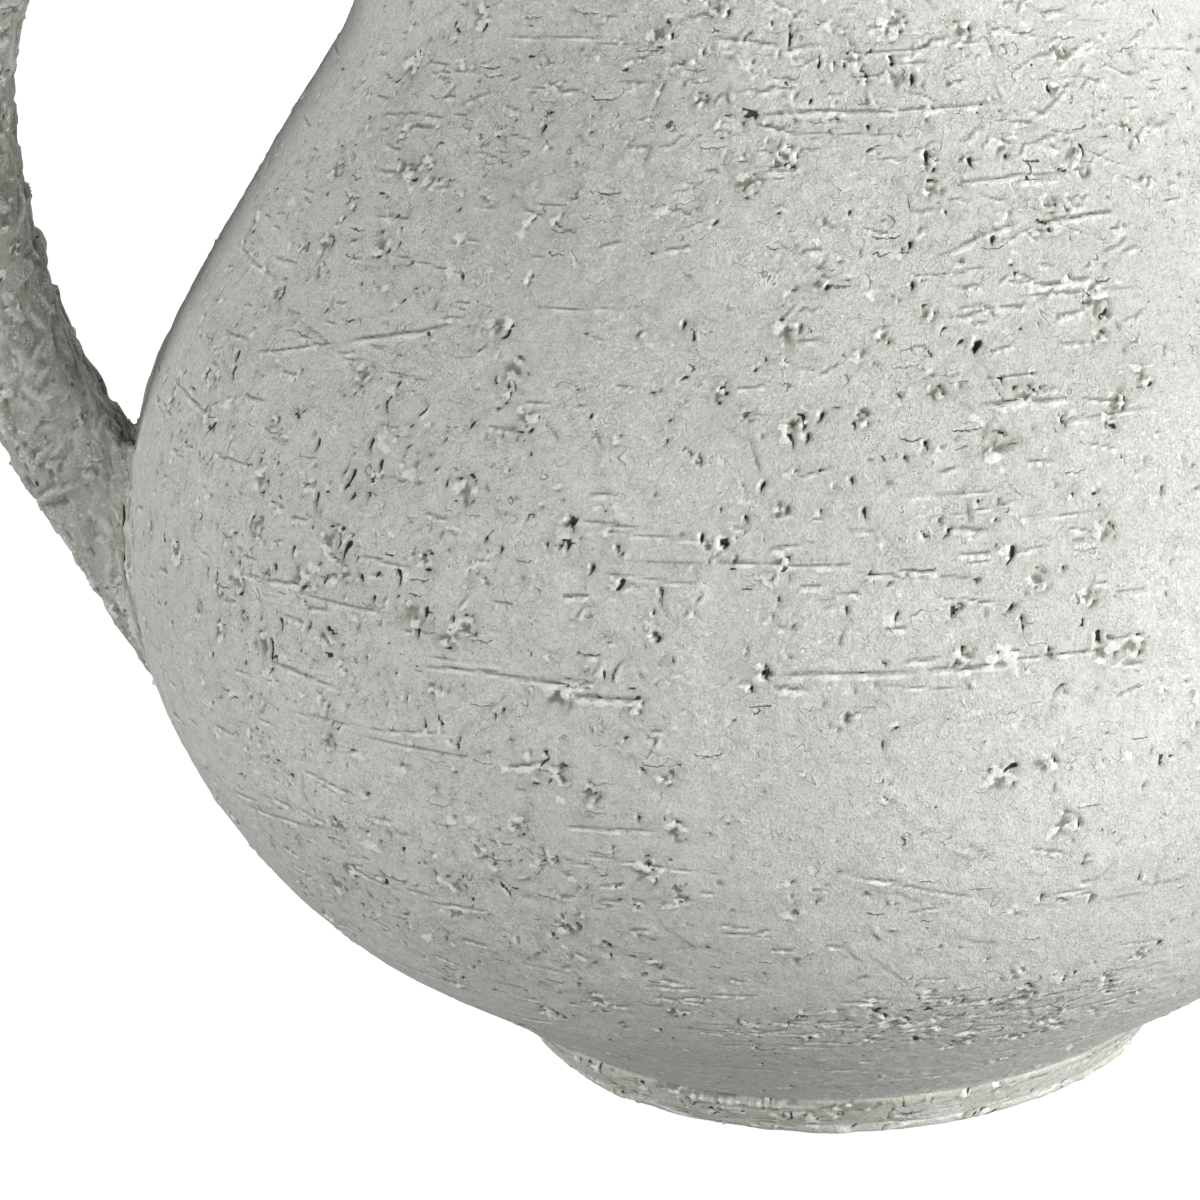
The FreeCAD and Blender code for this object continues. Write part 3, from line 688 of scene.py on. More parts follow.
def add_piece(name, slot, node, places, faces, stains_and_shade, normals=None, creased=0):
    """One piece, in place of its node. Each array in faces has its own number of corners.

    Stains are the shares of dark, light and warm clay and of torn surface, and a shade from -1 to
    1, for the first of the places; the dark share is mostly painted shadow, and the shade holds
    painted light and shade and broad tones. The last corners, as many as creased says, take no
    normal."""
    places, stains_and_shade = places.reshape(-1, 3), stains_and_shade.reshape(-1, 5)
    mesh = bpy.data.meshes.new(name)
    corners = np.concatenate([f.ravel() for f in faces]).astype(np.int32)
    counts = np.concatenate([np.full(len(f), f.shape[1]) for f in faces]).astype(np.int32)
    starts = np.concatenate([[0], np.cumsum(counts)[:-1]]).astype(np.int32)
    mesh.vertices.add(len(places))
    mesh.vertices.foreach_set("co", (places * MM).astype(np.float32).ravel())
    mesh.loops.add(len(corners))
    mesh.loops.foreach_set("vertex_index", corners)
    mesh.polygons.add(len(counts))
    mesh.polygons.foreach_set("loop_start", starts)
    mesh.update(calc_edges=True)
    mesh.polygons.foreach_set("use_smooth", np.ones(len(counts), bool))
    values = np.zeros((len(places), 5), np.float32)
    values[:len(stains_and_shade)] = stains_and_shade
    layer = mesh.attributes.new("stains_and_shade", "FLOAT_COLOR", "POINT")
    layer.data.foreach_set("color", values[:, :4].ravel())
    layer = mesh.attributes.new("shade", "FLOAT", "POINT")
    layer.data.foreach_set("value", values[:, 4].copy())
    if normals is not None:
        chosen = np.zeros((len(corners), 3), np.float32)
        known = len(corners) - creased
        chosen[:known] = normals[corners[:known]]
        mesh.normals_split_custom_set(chosen)
    mesh.validate()
    mesh.update()
    piece = bpy.data.objects.new(name, mesh)
    bpy.context.scene.collection.objects.link(piece)
    mesh.materials.append(CLAYS[slot])
    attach(piece, "root")
    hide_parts(node)


def numbered(places, start=0):
    """The numbers of a grid's points."""
    return start + np.arange(places.size // 3).reshape(places.shape[:2])


def grid_faces(index, closed=True):
    """Faces between the rows and columns of an index grid, facing outward."""
    right = np.roll(index, -1, 1) if closed else index[:, 1:]
    left = index if closed else index[:, :-1]
    return np.stack([left[:-1], right[:-1], right[1:], left[1:]], -1).reshape(-1, 4)


def on_circle(spots, outs, angle, height):
    """Points of a turned surface: the profile's spots, moved outward by a height, at each angle."""
    c, s = np.cos(angle)[None, :], np.sin(angle)[None, :]
    r, z = (spots[:, k][:, None] + outs[:, k][:, None] * height for k in (0, 1))
    return np.stack([r * c, r * s, z + 0 * c], -1)


def grid_normals(places):
    across = np.roll(places, -1, 1) - np.roll(places, 1, 1)
    normal = np.cross(across, np.gradient(places, axis=0))
    return normal / np.maximum(np.linalg.norm(normal, axis=-1, keepdims=True), 1e-12)


# ---------------------------------------------------------------- the wall's grid and its marks

# The sides that the photograph shows have close columns, between two angles, and the rest wide ones
FINE_STEP, ROUGH_STEP = 0.5, 1.9
FINE_FROM, FINE_TO = -187.0, -52.0
INNER_EVERY_FINE, INNER_EVERY_ROUGH = 10, 4
INNER_ROW_STEP = 5


def ring_columns(radius, fine, rough, first, last):
    """Angles of columns in radians, closer from first to last, and the last close one's number."""
    fine_count = round(math.radians(last - first) * radius / fine)
    rough_count = round(math.radians(360 - last + first) * radius / rough)
    close = np.linspace(first, last, fine_count + 1)
    wide = np.linspace(last, first + 360, rough_count + 1)[1:-1]
    return np.radians(np.concatenate([close, wide])), fine_count


def even_rows(start, end, step):
    return np.linspace(start, end, 2 * max(1, round((end - start) / step / 2)) + 1)


def on_wall(pixel):
    """Angle, and length along the wall's profile, where a pixel shows the wall."""
    place, right, up, forward = camera_axes()
    x = (pixel[0] - FRAME_PIXELS / 2) / FOCAL_PIXELS
    y = (FRAME_PIXELS / 2 - pixel[1]) / FOCAL_PIXELS
    way = forward + x * right + y * up
    way /= np.linalg.norm(way)
    reach = np.arange(CAMERA_DISTANCE - 220, CAMERA_DISTANCE + 120, 0.25)
    spots = place + reach[:, None] * way
    across = np.hypot(spots[:, 0], spots[:, 1])
    wall_r, wall_z = OUTER_SKIN.points.T
    wall = np.interp(spots[:, 2], wall_z, wall_r, left=0.0)
    inside = np.nonzero(across < wall)[0]
    hit = inside[0] if len(inside) else int(np.argmin(across - wall))
    angle = math.atan2(spots[hit, 1], spots[hit, 0])
    return angle, float(np.interp(spots[hit, 2], wall_z, OUTER_SKIN.along))


# Marks that the photograph shows, listed in its pixels. The first three tables are lines: two ends,
# and a width in millimetres.
RIDGES_SEEN = (
    ((250, 355), (340, 345), 0.42), ((340, 345), (470, 325), 0.55), ((770, 117), (900, 113), 0.5),
    ((972, 409), (1074, 401), 0.6), ((1074, 401), (1130, 405), 0.45), ((700, 562), (860, 570), 0.4),
    ((772, 678), (923, 676), 0.55), ((923, 676), (1023, 666), 0.5), ((899, 666), (944, 662), 0.45),
    ((480, 675), (602, 693), 0.5), ((420, 668), (500, 676), 0.4), ((560, 682), (594, 687), 0.45),
    ((560, 828), (660, 835), 0.42), ((500, 772), (550, 765), 0.5), ((860, 882), (905, 885), 0.4),
    ((1040, 660), (1100, 652), 0.4), ((240, 576), (328, 592), 0.45), ((944, 531), (989, 535), 0.55),
    ((972, 188), (1070, 182), 0.5), ((1050, 222), (1118, 214), 0.45), ((706, 40), (790, 50), 0.45),
    ((1000, 284), (1075, 288), 0.4), ((430, 905), (490, 915), 0.4), ((640, 985), (700, 990), 0.35),
    ((300, 770), (360, 800), 0.4), ((850, 575), (930, 582), 0.4), ((930, 600), (1000, 606), 0.35),
    ((375, 563), (410, 570), 0.4), ((325, 553), (345, 568), 0.4), ((594, 1004), (638, 1008), 0.45),
    ((709, 994), (760, 997), 0.35), ((726, 1029), (753, 1037), 0.35),
    ((684, 997), (701, 997), 0.35), ((950, 185), (1076, 175), 0.5),
    ((1026, 228), (1118, 212), 0.55), ((858, 117), (1000, 105), 0.5),
)
BARS_SEEN = (
    ((568, 701), (649, 706), 0.75), ((886, 633), (907, 633), 0.7), ((954, 557), (993, 557), 0.5),
    ((772, 694), (805, 694), 0.7), ((999, 656), (1019, 656), 0.6), ((846, 594), (860, 600), 0.5),
    ((895, 573), (940, 575), 0.5), ((560, 602), (590, 598), 0.4), ((1024, 292), (1092, 281), 0.6),
    ((303, 489), (318, 490), 0.7), ((329, 581), (340, 581), 0.7), ((659, 980), (682, 984), 0.5),
    ((729, 980), (743, 983), 0.45), ((688, 1001), (704, 1004), 0.45),
    ((675, 1010), (692, 1012), 0.45), ((862, 232), (890, 236), 0.5), ((560, 692), (595, 687), 0.45),
)
GROOVES_SEEN = (
    ((290, 312), (330, 342), 0.40), ((557, 555), (718, 563), 0.20), ((718, 563), (800, 568), 0.18),
    ((893, 572), (974, 577), 0.22), ((961, 482), (971, 523), 0.22), ((690, 552), (760, 566), 0.20),
    ((540, 410), (560, 440), 0.2), ((745, 420), (760, 470), 0.2), ((714, 1022), (726, 1023), 0.35),
    ((633, 1056), (662, 1060), 0.3), ((718, 1070), (750, 1075), 0.3),
)
SLITS_SEEN = (
    # x, y, length, angle and a width in millimetres
    (573, 524, 13, 80, 0.75), (548, 545, 8, 60, 0.5), (568, 549, 9, 85, 0.35),
    (619, 549, 10, 70, 0.3), (590, 570, 12, 110, 0.4), (619, 584, 13, 125, 0.55),
    (660, 594, 12, 88, 0.25), (486, 539, 5, 60, 0.35), (499, 550, 8, 100, 0.35),
    (704, 541, 14, 80, 0.45), (723, 545, 12, 80, 0.4), (745, 520, 10, 85, 0.4),
    (763, 488, 13, 110, 0.45), (790, 441, 16, 75, 0.45), (806, 439, 12, 105, 0.4),
    (819, 417, 14, 120, 0.3), (854, 425, 8, 70, 0.45), (927, 445, 10, 80, 0.45),
    (905, 459, 8, 70, 0.45), (853, 481, 8, 80, 0.4), (866, 514, 12, 80, 0.45),
    (820, 471, 6, 70, 0.3), (1010, 555, 18, 115, 0.6), (946, 533, 13, 130, 0.35),
    (846, 611, 8, 80, 0.35), (1008, 609, 14, 140, 0.3), (1021, 621, 10, 90, 0.3),
    (1064, 569, 6, 120, 0.4), (1051, 651, 8, 80, 0.5), (1100, 636, 12, 80, 0.6),
    (385, 882, 12, 125, 0.6), (504, 713, 10, 80, 0.35), (547, 755, 9, 60, 0.45),
    (753, 690, 8, 60, 0.55), (766, 676, 10, 60, 0.5), (1010, 770, 16, 150, 0.6),
    (685, 325, 9, 95, 0.45), (545, 130, 9, 100, 0.35), (925, 158, 10, 90, 0.4),
    (1000, 380, 8, 80, 0.4), (590, 1000, 16, 165, 0.35), (975, 345, 10, 110, 0.45),
    (455, 620, 8, 80, 0.35), (300, 885, 12, 130, 0.4), (399, 577, 16, 70, 0.6),
    (276, 568, 7, 70, 0.6), (201, 517, 5, 60, 0.6), (208, 572, 8, 70, 0.5), (218, 580, 14, 80, 0.5),
    (281, 625, 14, 85, 0.5), (382, 469, 18, 75, 0.5), (373, 446, 16, 80, 0.5),
    (350, 477, 18, 110, 0.55), (352, 496, 9, 120, 0.5), (318, 502, 20, 75, 0.45),
    (316, 445, 14, 95, 0.45), (230, 426, 8, 85, 0.4), (260, 461, 7, 70, 0.5),
    (348, 550, 18, 110, 0.7), (241, 563, 6, 60, 0.5), (295, 552, 12, 80, 0.5),
    (362, 580, 10, 60, 0.5), (375, 600, 8, 80, 0.5), (368, 495, 7, 90, 0.5),
    (420, 634, 10, 85, 0.5), (925, 155, 9, 100, 0.6), (971, 162, 10, 85, 0.6),
    (909, 245, 8, 105, 0.5), (993, 240, 9, 110, 0.6), (911, 286, 9, 100, 0.5),
    (978, 347, 13, 125, 0.8), (867, 128, 6, 90, 0.4), (134, 528, 16, 86, 0.5),
    (135, 546, 14, 98, 0.5), (136, 562, 16, 80, 0.4), (136, 592, 34, 92, 0.4),
    (205, 298, 10, 70, 0.6), (221, 292, 16, 75, 0.5), (201, 322, 18, 70, 0.5),
    (214, 336, 16, 72, 0.5), (187, 350, 12, 70, 0.4), (237, 356, 10, 75, 0.9),
    (207, 374, 12, 70, 0.6), (234, 372, 14, 70, 0.6), (1050, 90, 12, 80, 0.4),
    (890, 60, 10, 80, 0.35), (640, 820, 8, 90, 0.3), (1090, 900, 12, 100, 0.35),
)
HOLES_SEEN = (
    # x, y, size and how warm its clay is
    (567, 522, 9, 0.6), (848, 717, 7, 1.0), (975, 347, 8, 0.6), (775, 165, 9, 0.5),
    (793, 165, 6, 0.4), (655, 635, 9, 0.5), (766, 674, 8, 0.8), (863, 411, 9, 0.7),
    (793, 422, 8, 0.7), (1062, 419, 8, 0.6), (976, 580, 7, 0.8), (961, 604, 6, 0.8),
    (891, 582, 6, 0.7), (708, 545, 7, 0.6), (725, 543, 7, 0.7), (675, 890, 8, 0.5),
    (745, 418, 7, 0.5), (1049, 657, 6, 0.9), (1097, 640, 7, 0.7), (560, 545, 7, 0.5),
    (940, 520, 6, 0.3), (700, 460, 8, 0.4), (958, 664, 7, 0.6), (900, 395, 6, 0.5),
    (735, 560, 7, 0.6), (1085, 300, 9, 0.5), (865, 895, 6, 0.4), (1060, 900, 7, 0.4),
    (435, 875, 7, 0.3), (645, 975, 7, 0.3),
)
CHIPS_SEEN = (
    # x, y and size
    (563, 536, 12), (612, 578, 8), (650, 637, 8), (756, 680, 10), (545, 545, 8), (596, 508, 9),
    (617, 514, 11), (505, 768, 13), (520, 770, 9), (784, 440, 12), (800, 436, 10), (716, 545, 9),
    (898, 480, 9), (1000, 470, 9), (1022, 520, 10), (880, 545, 9), (740, 500, 9), (610, 600, 8),
    (700, 585, 9), (560, 800, 12), (590, 805, 10), (440, 880, 12), (470, 820, 12), (660, 870, 11),
)
TEARS_SEEN = (
    # x, y and size
    (257, 525, 20), (330, 540, 26), (265, 644, 24), (200, 610, 16), (245, 618, 12), (345, 575, 16),
    (567, 522, 15), (718, 543, 16), (655, 635, 12), (614, 584, 13), (760, 672, 15), (931, 190, 20),
    (925, 313, 16), (882, 337, 14), (1095, 302, 24), (1071, 151, 22), (1040, 230, 18),
    (1123, 124, 16), (933, 392, 18), (1000, 147, 18), (785, 158, 22), (792, 425, 24),
    (861, 419, 14), (719, 395, 14), (679, 897, 14), (552, 860, 10), (1110, 415, 18),
    (1062, 420, 12), (850, 60, 16), (700, 100, 14), (134, 534, 9), (135, 551, 8), (960, 30, 18),
    (430, 165, 12), (275, 420, 12), (590, 790, 12), (1085, 860, 10), (300, 885, 12),
)
SMEARS_AND_SHADE_SEEN = (
    # middle, half width and half height, and how much paler or darker
    ((680, 660), (45, 120), 0.16), ((560, 640), (30, 110), 0.10), ((810, 590), (40, 90), 0.10),
    ((520, 300), (120, 60), 0.12), ((610, 728), (46, 20), -0.22), ((300, 620), (60, 120), -0.10),
    # The darker area at (400, 90), on the shoulder by the neck, is painted shade
    ((400, 90), (70, 110), -0.22), ((480, 960), (90, 50), -0.20), ((700, 770), (30, 120), 0.10),
    ((705, 560), (13, 100), 0.28), ((640, 540), (11, 85), 0.22), ((850, 640), (14, 110), 0.24),
    ((755, 600), (9, 90), 0.20), ((600, 700), (18, 60), 0.22), ((930, 600), (12, 90), 0.18),
    ((560, 580), (10, 60), 0.20), ((690, 850), (10, 60), 0.24), ((500, 700), (12, 110), 0.12),
)

# The surface is painted darker below a line round the belly, which passes through this pixel
LOWER_DARKENING_PIXEL = (880, 882)
LOWER_DARKENING_WAVE, LOWER_DARKENING = 2.2, 0.20

# Areas with more marks: middle, half width and half height, and how many times the usual number
TORN_AREAS = (
    ((930, 1030), (250, 70), 3.0), ((960, 1012), (170, 62), 5.0), ((560, 60), (170, 90), 1.0),
    ((430, 240), (150, 160), 1.6), ((900, 540), (200, 110), 0.8), ((300, 620), (120, 160), 1.1),
    ((1080, 420), (120, 300), 0.5), ((640, 900), (260, 90), 1.0), ((240, 300), (90, 170), 1.6),
    ((330, 860), (130, 90), 1.6), ((420, 60), (90, 90), 1.6), ((600, 430), (120, 120), 0.8),
)
CURLED_AREAS = (
    ((930, 150), (270, 190), 2.0), ((1000, 90), (190, 130), 1.2), ((640, 70), (230, 90), 1.2),
    ((900, 330), (160, 60), 0.8), ((1060, 300), (120, 120), 0.8), ((720, 600), (120, 90), 0.4),
)
SLITTED_AREAS = (
    ((230, 420), (120, 140), 2.4), ((330, 540), (190, 170), 1.3), ((430, 430), (120, 120), 1.2),
    ((250, 720), (110, 120), 2.0), ((420, 790), (180, 130), 1.5), ((560, 640), (120, 140), 0.8),
    ((480, 960), (150, 70), 1.0), ((760, 640), (160, 120), 0.6),
)


def spot_seen(pixel):
    """Where a pixel shows the wall, and the millimetres there for one pixel."""
    place = on_wall(pixel)
    spot, _ = OUTER_SKIN.at(place[1])
    point = np.array([spot[0] * math.cos(place[0]), spot[0] * math.sin(place[0]), spot[1]])
    eye, _, _, forward = camera_axes()
    return place, float((point - eye) @ forward) / FOCAL_PIXELS


def area_seen(middle, half):
    """An oval area by pixels: its middle and half sizes on the wall, and the scale there."""
    place, scale = spot_seen(middle)
    reach = OUTER_SKIN.at(place[1])[0][0]
    return place, (half[0] * scale / reach, half[1] * scale), scale


def line_seen(start, end):
    """A line between two pixels, as its middle on the wall and its points about that."""
    a, b = on_wall(start), on_wall(end)
    middle = ((a[0] + b[0]) / 2, (a[1] + b[1]) / 2)
    reach = OUTER_SKIN.at(middle[1])[0][0]
    half = np.array([(b[0] - a[0]) * reach, b[1] - a[1]]) / 2
    share = np.linspace(-1, 1, 9)
    sideways = np.array([-half[1], half[0]]) / max(np.hypot(*half), 1e-6)
    swing = sway(size=9) * 0.12
    return middle, share[:, None] * half + swing[:, None] * sideways


def draw_marks_seen(skin):
    for start, end, width in RIDGES_SEEN:
        skin.straw(*line_seen(start, end), 0.85 * width, 0.32, 0.92, 0.56)
    for start, end, width in BARS_SEEN:
        skin.straw(*line_seen(start, end), 0.75 * width, 0.30, 0.95, 0.56, blunt=True)
    for start, end, width in GROOVES_SEEN:
        skin.slit(*line_seen(start, end), width, 0.35, dark=0.45, warm=0.15, lip=0.06)
    for x, y, size in CHIPS_SEEN:
        place, scale = spot_seen((x, y))
        skin.flake(place, size * scale * 0.42, among(1.0, 1.6), among(-40, 40), 0.38, light=0.75)
    for x, y, size in TEARS_SEEN:
        place, scale = spot_seen((x, y))
        tear(skin, place, size * scale * 0.5)
    for x, y, size, warm in HOLES_SEEN:
        place, scale = spot_seen((x, y))
        skin.pit(place, size * scale * 0.5, among(1.0, 1.5), among(0, 180), 0.8, dark=0.52,
                 warm=min(1.0, 1.3 * warm), ragged=0.6)
    for x, y, length, angle, width in SLITS_SEEN:
        place, scale = spot_seen((x, y))
        points = bent(length * scale * 1.15, 180 - angle, CHANCE.choice((-1, 1)) * 0.5)
        skin.slit(place, points, width * 0.85, 0.95, dark=1.0, warm=0.35, lip=0.14)


def scatter(count, area=None):
    """Random places on the wall, even over its surface or over one oval area."""
    places = []
    widest = OUTER_SKIN.points[:, 0].max()
    while len(places) < count:
        if area is None:
            angle, along = among(-math.pi, math.pi), among(0, OUTER_SKIN.length)
            if among() > OUTER_SKIN.at(along)[0][0] / widest:
                continue
        else:
            (angle0, along0), half = area
            turn, length = among(0, 2 * math.pi), math.sqrt(among())
            angle = angle0 + half[0] * length * math.cos(turn)
            along = along0 + half[1] * length * math.sin(turn)
            if not 0 < along < OUTER_SKIN.length:
                continue
        places.append((angle, along))
    return places


def tear(skin, place, size, fade=1.0):
    """A pocket where the clay tore: a ragged hollow, dark arcs at its edge and loose chips."""
    reach = float(np.interp(place[1], skin.rows, skin.reach))
    stretch, angle = among(1.0, 1.5), among(20, 110)
    skin.pit(place, 0.75 * size, stretch, angle, 0.30 * fade, 0.0, among(0.3, 0.8), 0.55)
    for spot, across, along in skin.windows(place, size, size):
        # Painted shade in the hollow
        skin.shade[spot] -= 0.45 * np.exp(-2.2 * (across ** 2 + along ** 2) / size ** 2)
    for _ in range(3):
        turn = sway()
        beside = (place[0] + size * math.cos(turn) / reach, place[1] + size * math.sin(turn))
        arc = bent(among(0.6, 1.3) * size, 90 + math.degrees(turn) + sway() * 15, among(-0.9, -0.2))
        skin.slit(beside, arc, among(0.1, 0.5), 0.5 * fade, among(0.6, 1.0), 0.4, 0.1)
    for _ in range(3):
        turn, away = among(0, 2 * math.pi), 0.8 * size
        beside = (place[0] + away * math.cos(turn) / reach, place[1] + away * math.sin(turn))
        skin.flake(beside, among(0.3, 0.55) * size, among(1, 1.8), among(-60, 60), 0.3 * fade,
                   among(0.4, 0.9))


# The shares of each kind of mark
USUAL = {"pit": 10, "chip": 20, "slit": 28, "flake": 18, "straw": 4, "bar": 9, "crack": 6,
         "tear": 5}
TORN = {"pit": 8, "chip": 26, "slit": 20, "flake": 24, "straw": 5, "bar": 18, "crack": 4, "tear": 6}
SLITTED = {"slit": 42, "chip": 22, "flake": 16, "pit": 7, "bar": 7, "crack": 3, "tear": 3}
CURLED = {"pit": 3, "chip": 12, "slit": 16, "flake": 22, "bar": 8, "curl": 40, "tear": 3}
PRESSED = {"pit": 20, "chip": 24, "slit": 30, "flake": 12, "bar": 3, "crack": 14, "tear": 10}
THREADS = {
    # lengths, the power of the size in them, spread and middle of the tilt, swing (none for a
    # blunt bar), widths, height, light and shade
    "straw": ((8, 26), 0.5, (5, 0), 0.10, (0.26, 0.38), 0.24, (0.45, 0.9), (0.2, 0.58)),
    "bar": ((2.0, 6.5), 0, (9, 0), None, (0.26, 0.42), 0.24, (0.45, 0.9), (0.1, 0.6)),
    "curl": ((2.5, 8.0), 1, (14, 5), 0.45, (0.26, 0.46), 0.22, (0.6, 1.0), (0.1, 0.48)),
}
MARK_SIZES = (0.4, 2.8)


def throw_thread(skin, place, size, fade, look):
    lengths, power, (spread, middle), swing, widths, height, light, shade = look
    length, tilt = among(*lengths) * size ** power, sway() * spread + middle
    blunt = swing is None
    points = bent(length, tilt, among(-0.1, 0.1)) if blunt else wander(length, tilt, swing)
    skin.straw(place, points, among(*widths), height * fade, among(*light), among(*shade), blunt)


def throw_marks(skin, places, kinds, fade=1.0):
    """One random mark at each place, of a kind drawn by the kinds' shares."""
    names = list(kinds)
    shares = np.array([kinds[name] for name in names], float)
    picks = CHANCE.choice(len(names), len(places), p=shares / shares.sum())
    for (turn, along), pick in zip(places, picks):
        place = (skin.near(turn), along)
        kind = names[pick]
        size = float(np.clip(CHANCE.lognormal(-0.1, 0.42), *MARK_SIZES))
        if kind in THREADS:
            throw_thread(skin, place, size, fade, THREADS[kind])
        elif kind == "pit":
            skin.pit(place, 0.5 * size, among(1, 2.4), among(0, 180), 0.28 * fade, among(0.1, 0.8),
                     among(0, 0.5) ** 2 * 2, 0.5)
        elif kind == "chip":
            tilt = among(-35, 35)
            skin.flake(place, 0.80 * size, among(1, 1.9), tilt, 0.30 * fade, among(0.15, 0.75))
            edge = bent(2.0 * size, 90 + tilt + sway() * 22, among(0.3, 0.9))
            reach = np.interp(along, skin.rows, skin.reach)
            beside = (place[0] + 0.85 * size / reach, place[1] + sway() * 0.3)
            skin.slit(beside, edge, among(0.1, 0.4), 0.4 * fade, among(0.5, 1.0), among(0, 0.45),
                      0.08)
        elif kind == "slit":
            upright = 90 + sway() * 30 if among() < 0.6 else sway() * 20
            points = bent(2.4 * size, upright, among(-0.8, 0.8))
            if among() < 0.6:
                points = points[::-1]
            skin.slit(place, points, among(0.05, 0.4), 0.35 * fade, among(0.5, 1.0), among(0, 0.35),
                      CHANCE.choice((0, 0.12, 0.2)))
        elif kind == "flake":
            skin.flake(place, 0.62 * size, among(1, 2.8), sway() * 30, 0.17 * fade,
                       among(0.15, 0.75))
        elif kind == "tear":
            tear(skin, place, among(1.2, 2.6), fade)
        elif kind == "crack":
            points = wander(among(4, 14), sway() * 40, 0.35)
            skin.slit(place, points, among(0.05, 0.12), 0.2 * fade, among(0.6, 0.9), 0.2, 0.06)


WALL_SEED = 11
WALL_AREA = 230000
WALL_DENSITY = 0.020
UNSEEN_CLUSTERS, CLUSTER_MARKS, CLUSTER_HALF = 9, 110, (0.34, 42)
CLUSTER_ALONG = (30, 270)
ROOT_SMEARS, ROOT_REACH = 60, (16, 34)
WALL_FADES = (2.5, 4)


def weather_wall(skin):
    """Throwing rings, hand-made unevenness, grain and marks all over the wall."""
    seed = WALL_SEED
    skin.height += 0.22 * skin.noise(70, 16, seed) + 0.16 * skin.noise(22, 7, seed + 1)
    skin.height += 0.05 * skin.noise(60, 2.6, seed + 2)
    torn = smooth_step(skin.noise(38, 24, seed + 3), -0.6, 1.0)
    skin.torn = 0.15 + 0.35 * torn
    skin.height += (0.03 + 0.05 * torn) * skin.noise(2.6, 1.8, seed + 4)
    skin.height += (0.025 + 0.05 * torn) * skin.noise(1.5, 1.2, seed + 5)
    throw_marks(skin, scatter(int(WALL_DENSITY * WALL_AREA)), USUAL)


def crowd_areas(skin):
    """More marks of some kinds in the areas that show them, and in a few on the unseen sides."""
    for areas, kinds in ((TORN_AREAS, TORN), (CURLED_AREAS, CURLED), (SLITTED_AREAS, SLITTED)):
        for pixel, (half_x, half_y), times in areas:
            middle, half, scale = area_seen(pixel, (half_x, half_y))
            count = int(half_x * half_y * math.pi * scale ** 2 * WALL_DENSITY * times)
            throw_marks(skin, scatter(count, (middle, half)), kinds, 0.9)
            skin.torn += 0.22 * times * np.exp(-skin.oval(middle, half) * 1.2)
    for _ in range(UNSEEN_CLUSTERS):
        middle = (math.radians(among(FINE_TO + 20, FINE_FROM + 350)), among(*CLUSTER_ALONG))
        places = scatter(CLUSTER_MARKS, (middle, CLUSTER_HALF))
        throw_marks(skin, places, (TORN, CURLED)[CHANCE.integers(2)], 0.9)


def press_round_root(skin):
    """Clay dragged about on the wall beside the handle's lower root."""
    root_z = BELLY_HEIGHT + HANDLE_ROOT_RISE
    root = (skin.near(math.pi), float(np.interp(root_z, OUTER_SKIN.points[:, 1], OUTER_SKIN.along)))
    for _ in range(ROOT_SMEARS):
        turn, reach = among(0, 2 * math.pi), among(*ROOT_REACH)
        place = (root[0] + reach * math.cos(turn) / BELLY_RADIUS,
                 root[1] + 1.25 * reach * math.sin(turn))
        skin.smear(place, among(2.0, 4.0), among(1.2, 2.6), math.degrees(turn), among(0.1, 0.5),
                   sway(size=2) * 0.25)


def skin_faces(index, last_close):
    """Faces of the wall's grid, with five corners where close rows meet wide ones."""
    faces = [grid_faces(index[:, :last_close + 1], closed=False)]
    wide = np.concatenate([index[::2, last_close:], index[::2, :1]], 1)
    faces.append(grid_faces(wide[:, 1:-1], closed=False))
    middle = index[1::2, last_close]
    faces.append(np.stack([wide[:-1, 0], wide[:-1, 1], wide[1:, 1], wide[1:, 0], middle], -1))
    middle = index[1::2, 0]
    faces.append(np.stack([wide[:-1, -2], wide[:-1, -1], middle, wide[1:, -1], wide[1:, -2]], -1))
    return faces


def rim_faces(outer_row, inner_row, columns, upward):
    """The flat rim between a full row of outer points and a row of fewer inner ones."""
    groups = {}
    for k, start in enumerate(columns):
        end = columns[k + 1] if k + 1 < len(columns) else len(outer_row)
        outer = [outer_row[j % len(outer_row)] for j in range(start, end + 1)]
        face = outer + [inner_row[(k + 1) % len(columns)], inner_row[k]]
        groups.setdefault(len(face), []).append(face if upward else face[::-1])
    return [np.array(group) for group in groups.values()]


def make_wall_piece(name, node, grid, rows, inner_ends):
    """One of the two thrown walls: its outer skin, its rippled inner face and the rims between.

    The close columns have a point in every row, and the wide ones in every second row."""
    places, normals, stains_and_shade, columns, last_close = grid
    part = slice(rows[0], rows[1] + 1)
    used = np.zeros((rows[1] - rows[0] + 1, len(columns)), bool)
    used[:, :last_close + 1] = True
    used[::2] = True
    index = np.full(used.shape, -1)
    index[used] = np.arange(used.sum())
    faces = skin_faces(index, last_close)
    smooth_corners = sum(f.size for f in faces)

    chosen = np.append(np.arange(0, last_close, INNER_EVERY_FINE),
                       np.arange(last_close, len(columns), INNER_EVERY_ROUGH))
    inner_rows = max(3, round((inner_ends[1] - inner_ends[0]) / INNER_ROW_STEP))
    along = np.linspace(*inner_ends, inner_rows)
    spots, outs = INNER_SKIN.at(along)
    ripple = 0.5 * np.sin(along / 2.6)[:, None] + np.zeros((1, len(chosen)))
    ripple[0] = ripple[-1] = 0
    inner_places = on_circle(spots, outs, columns[chosen], ripple)
    inner_index = numbered(inner_places, used.sum())
    faces.append(grid_faces(inner_index)[:, ::-1])
    faces += rim_faces(index[-1], inner_index[-1], chosen, True)
    faces += rim_faces(index[0], inner_index[0], chosen, False)
    creased = sum(f.size for f in faces) - smooth_corners
    places = np.concatenate([places[part][used], inner_places.reshape(-1, 3)])
    add_piece(name, "wall_clay", node, places, faces, stains_and_shade[part][used], normals[part][used],
              creased)


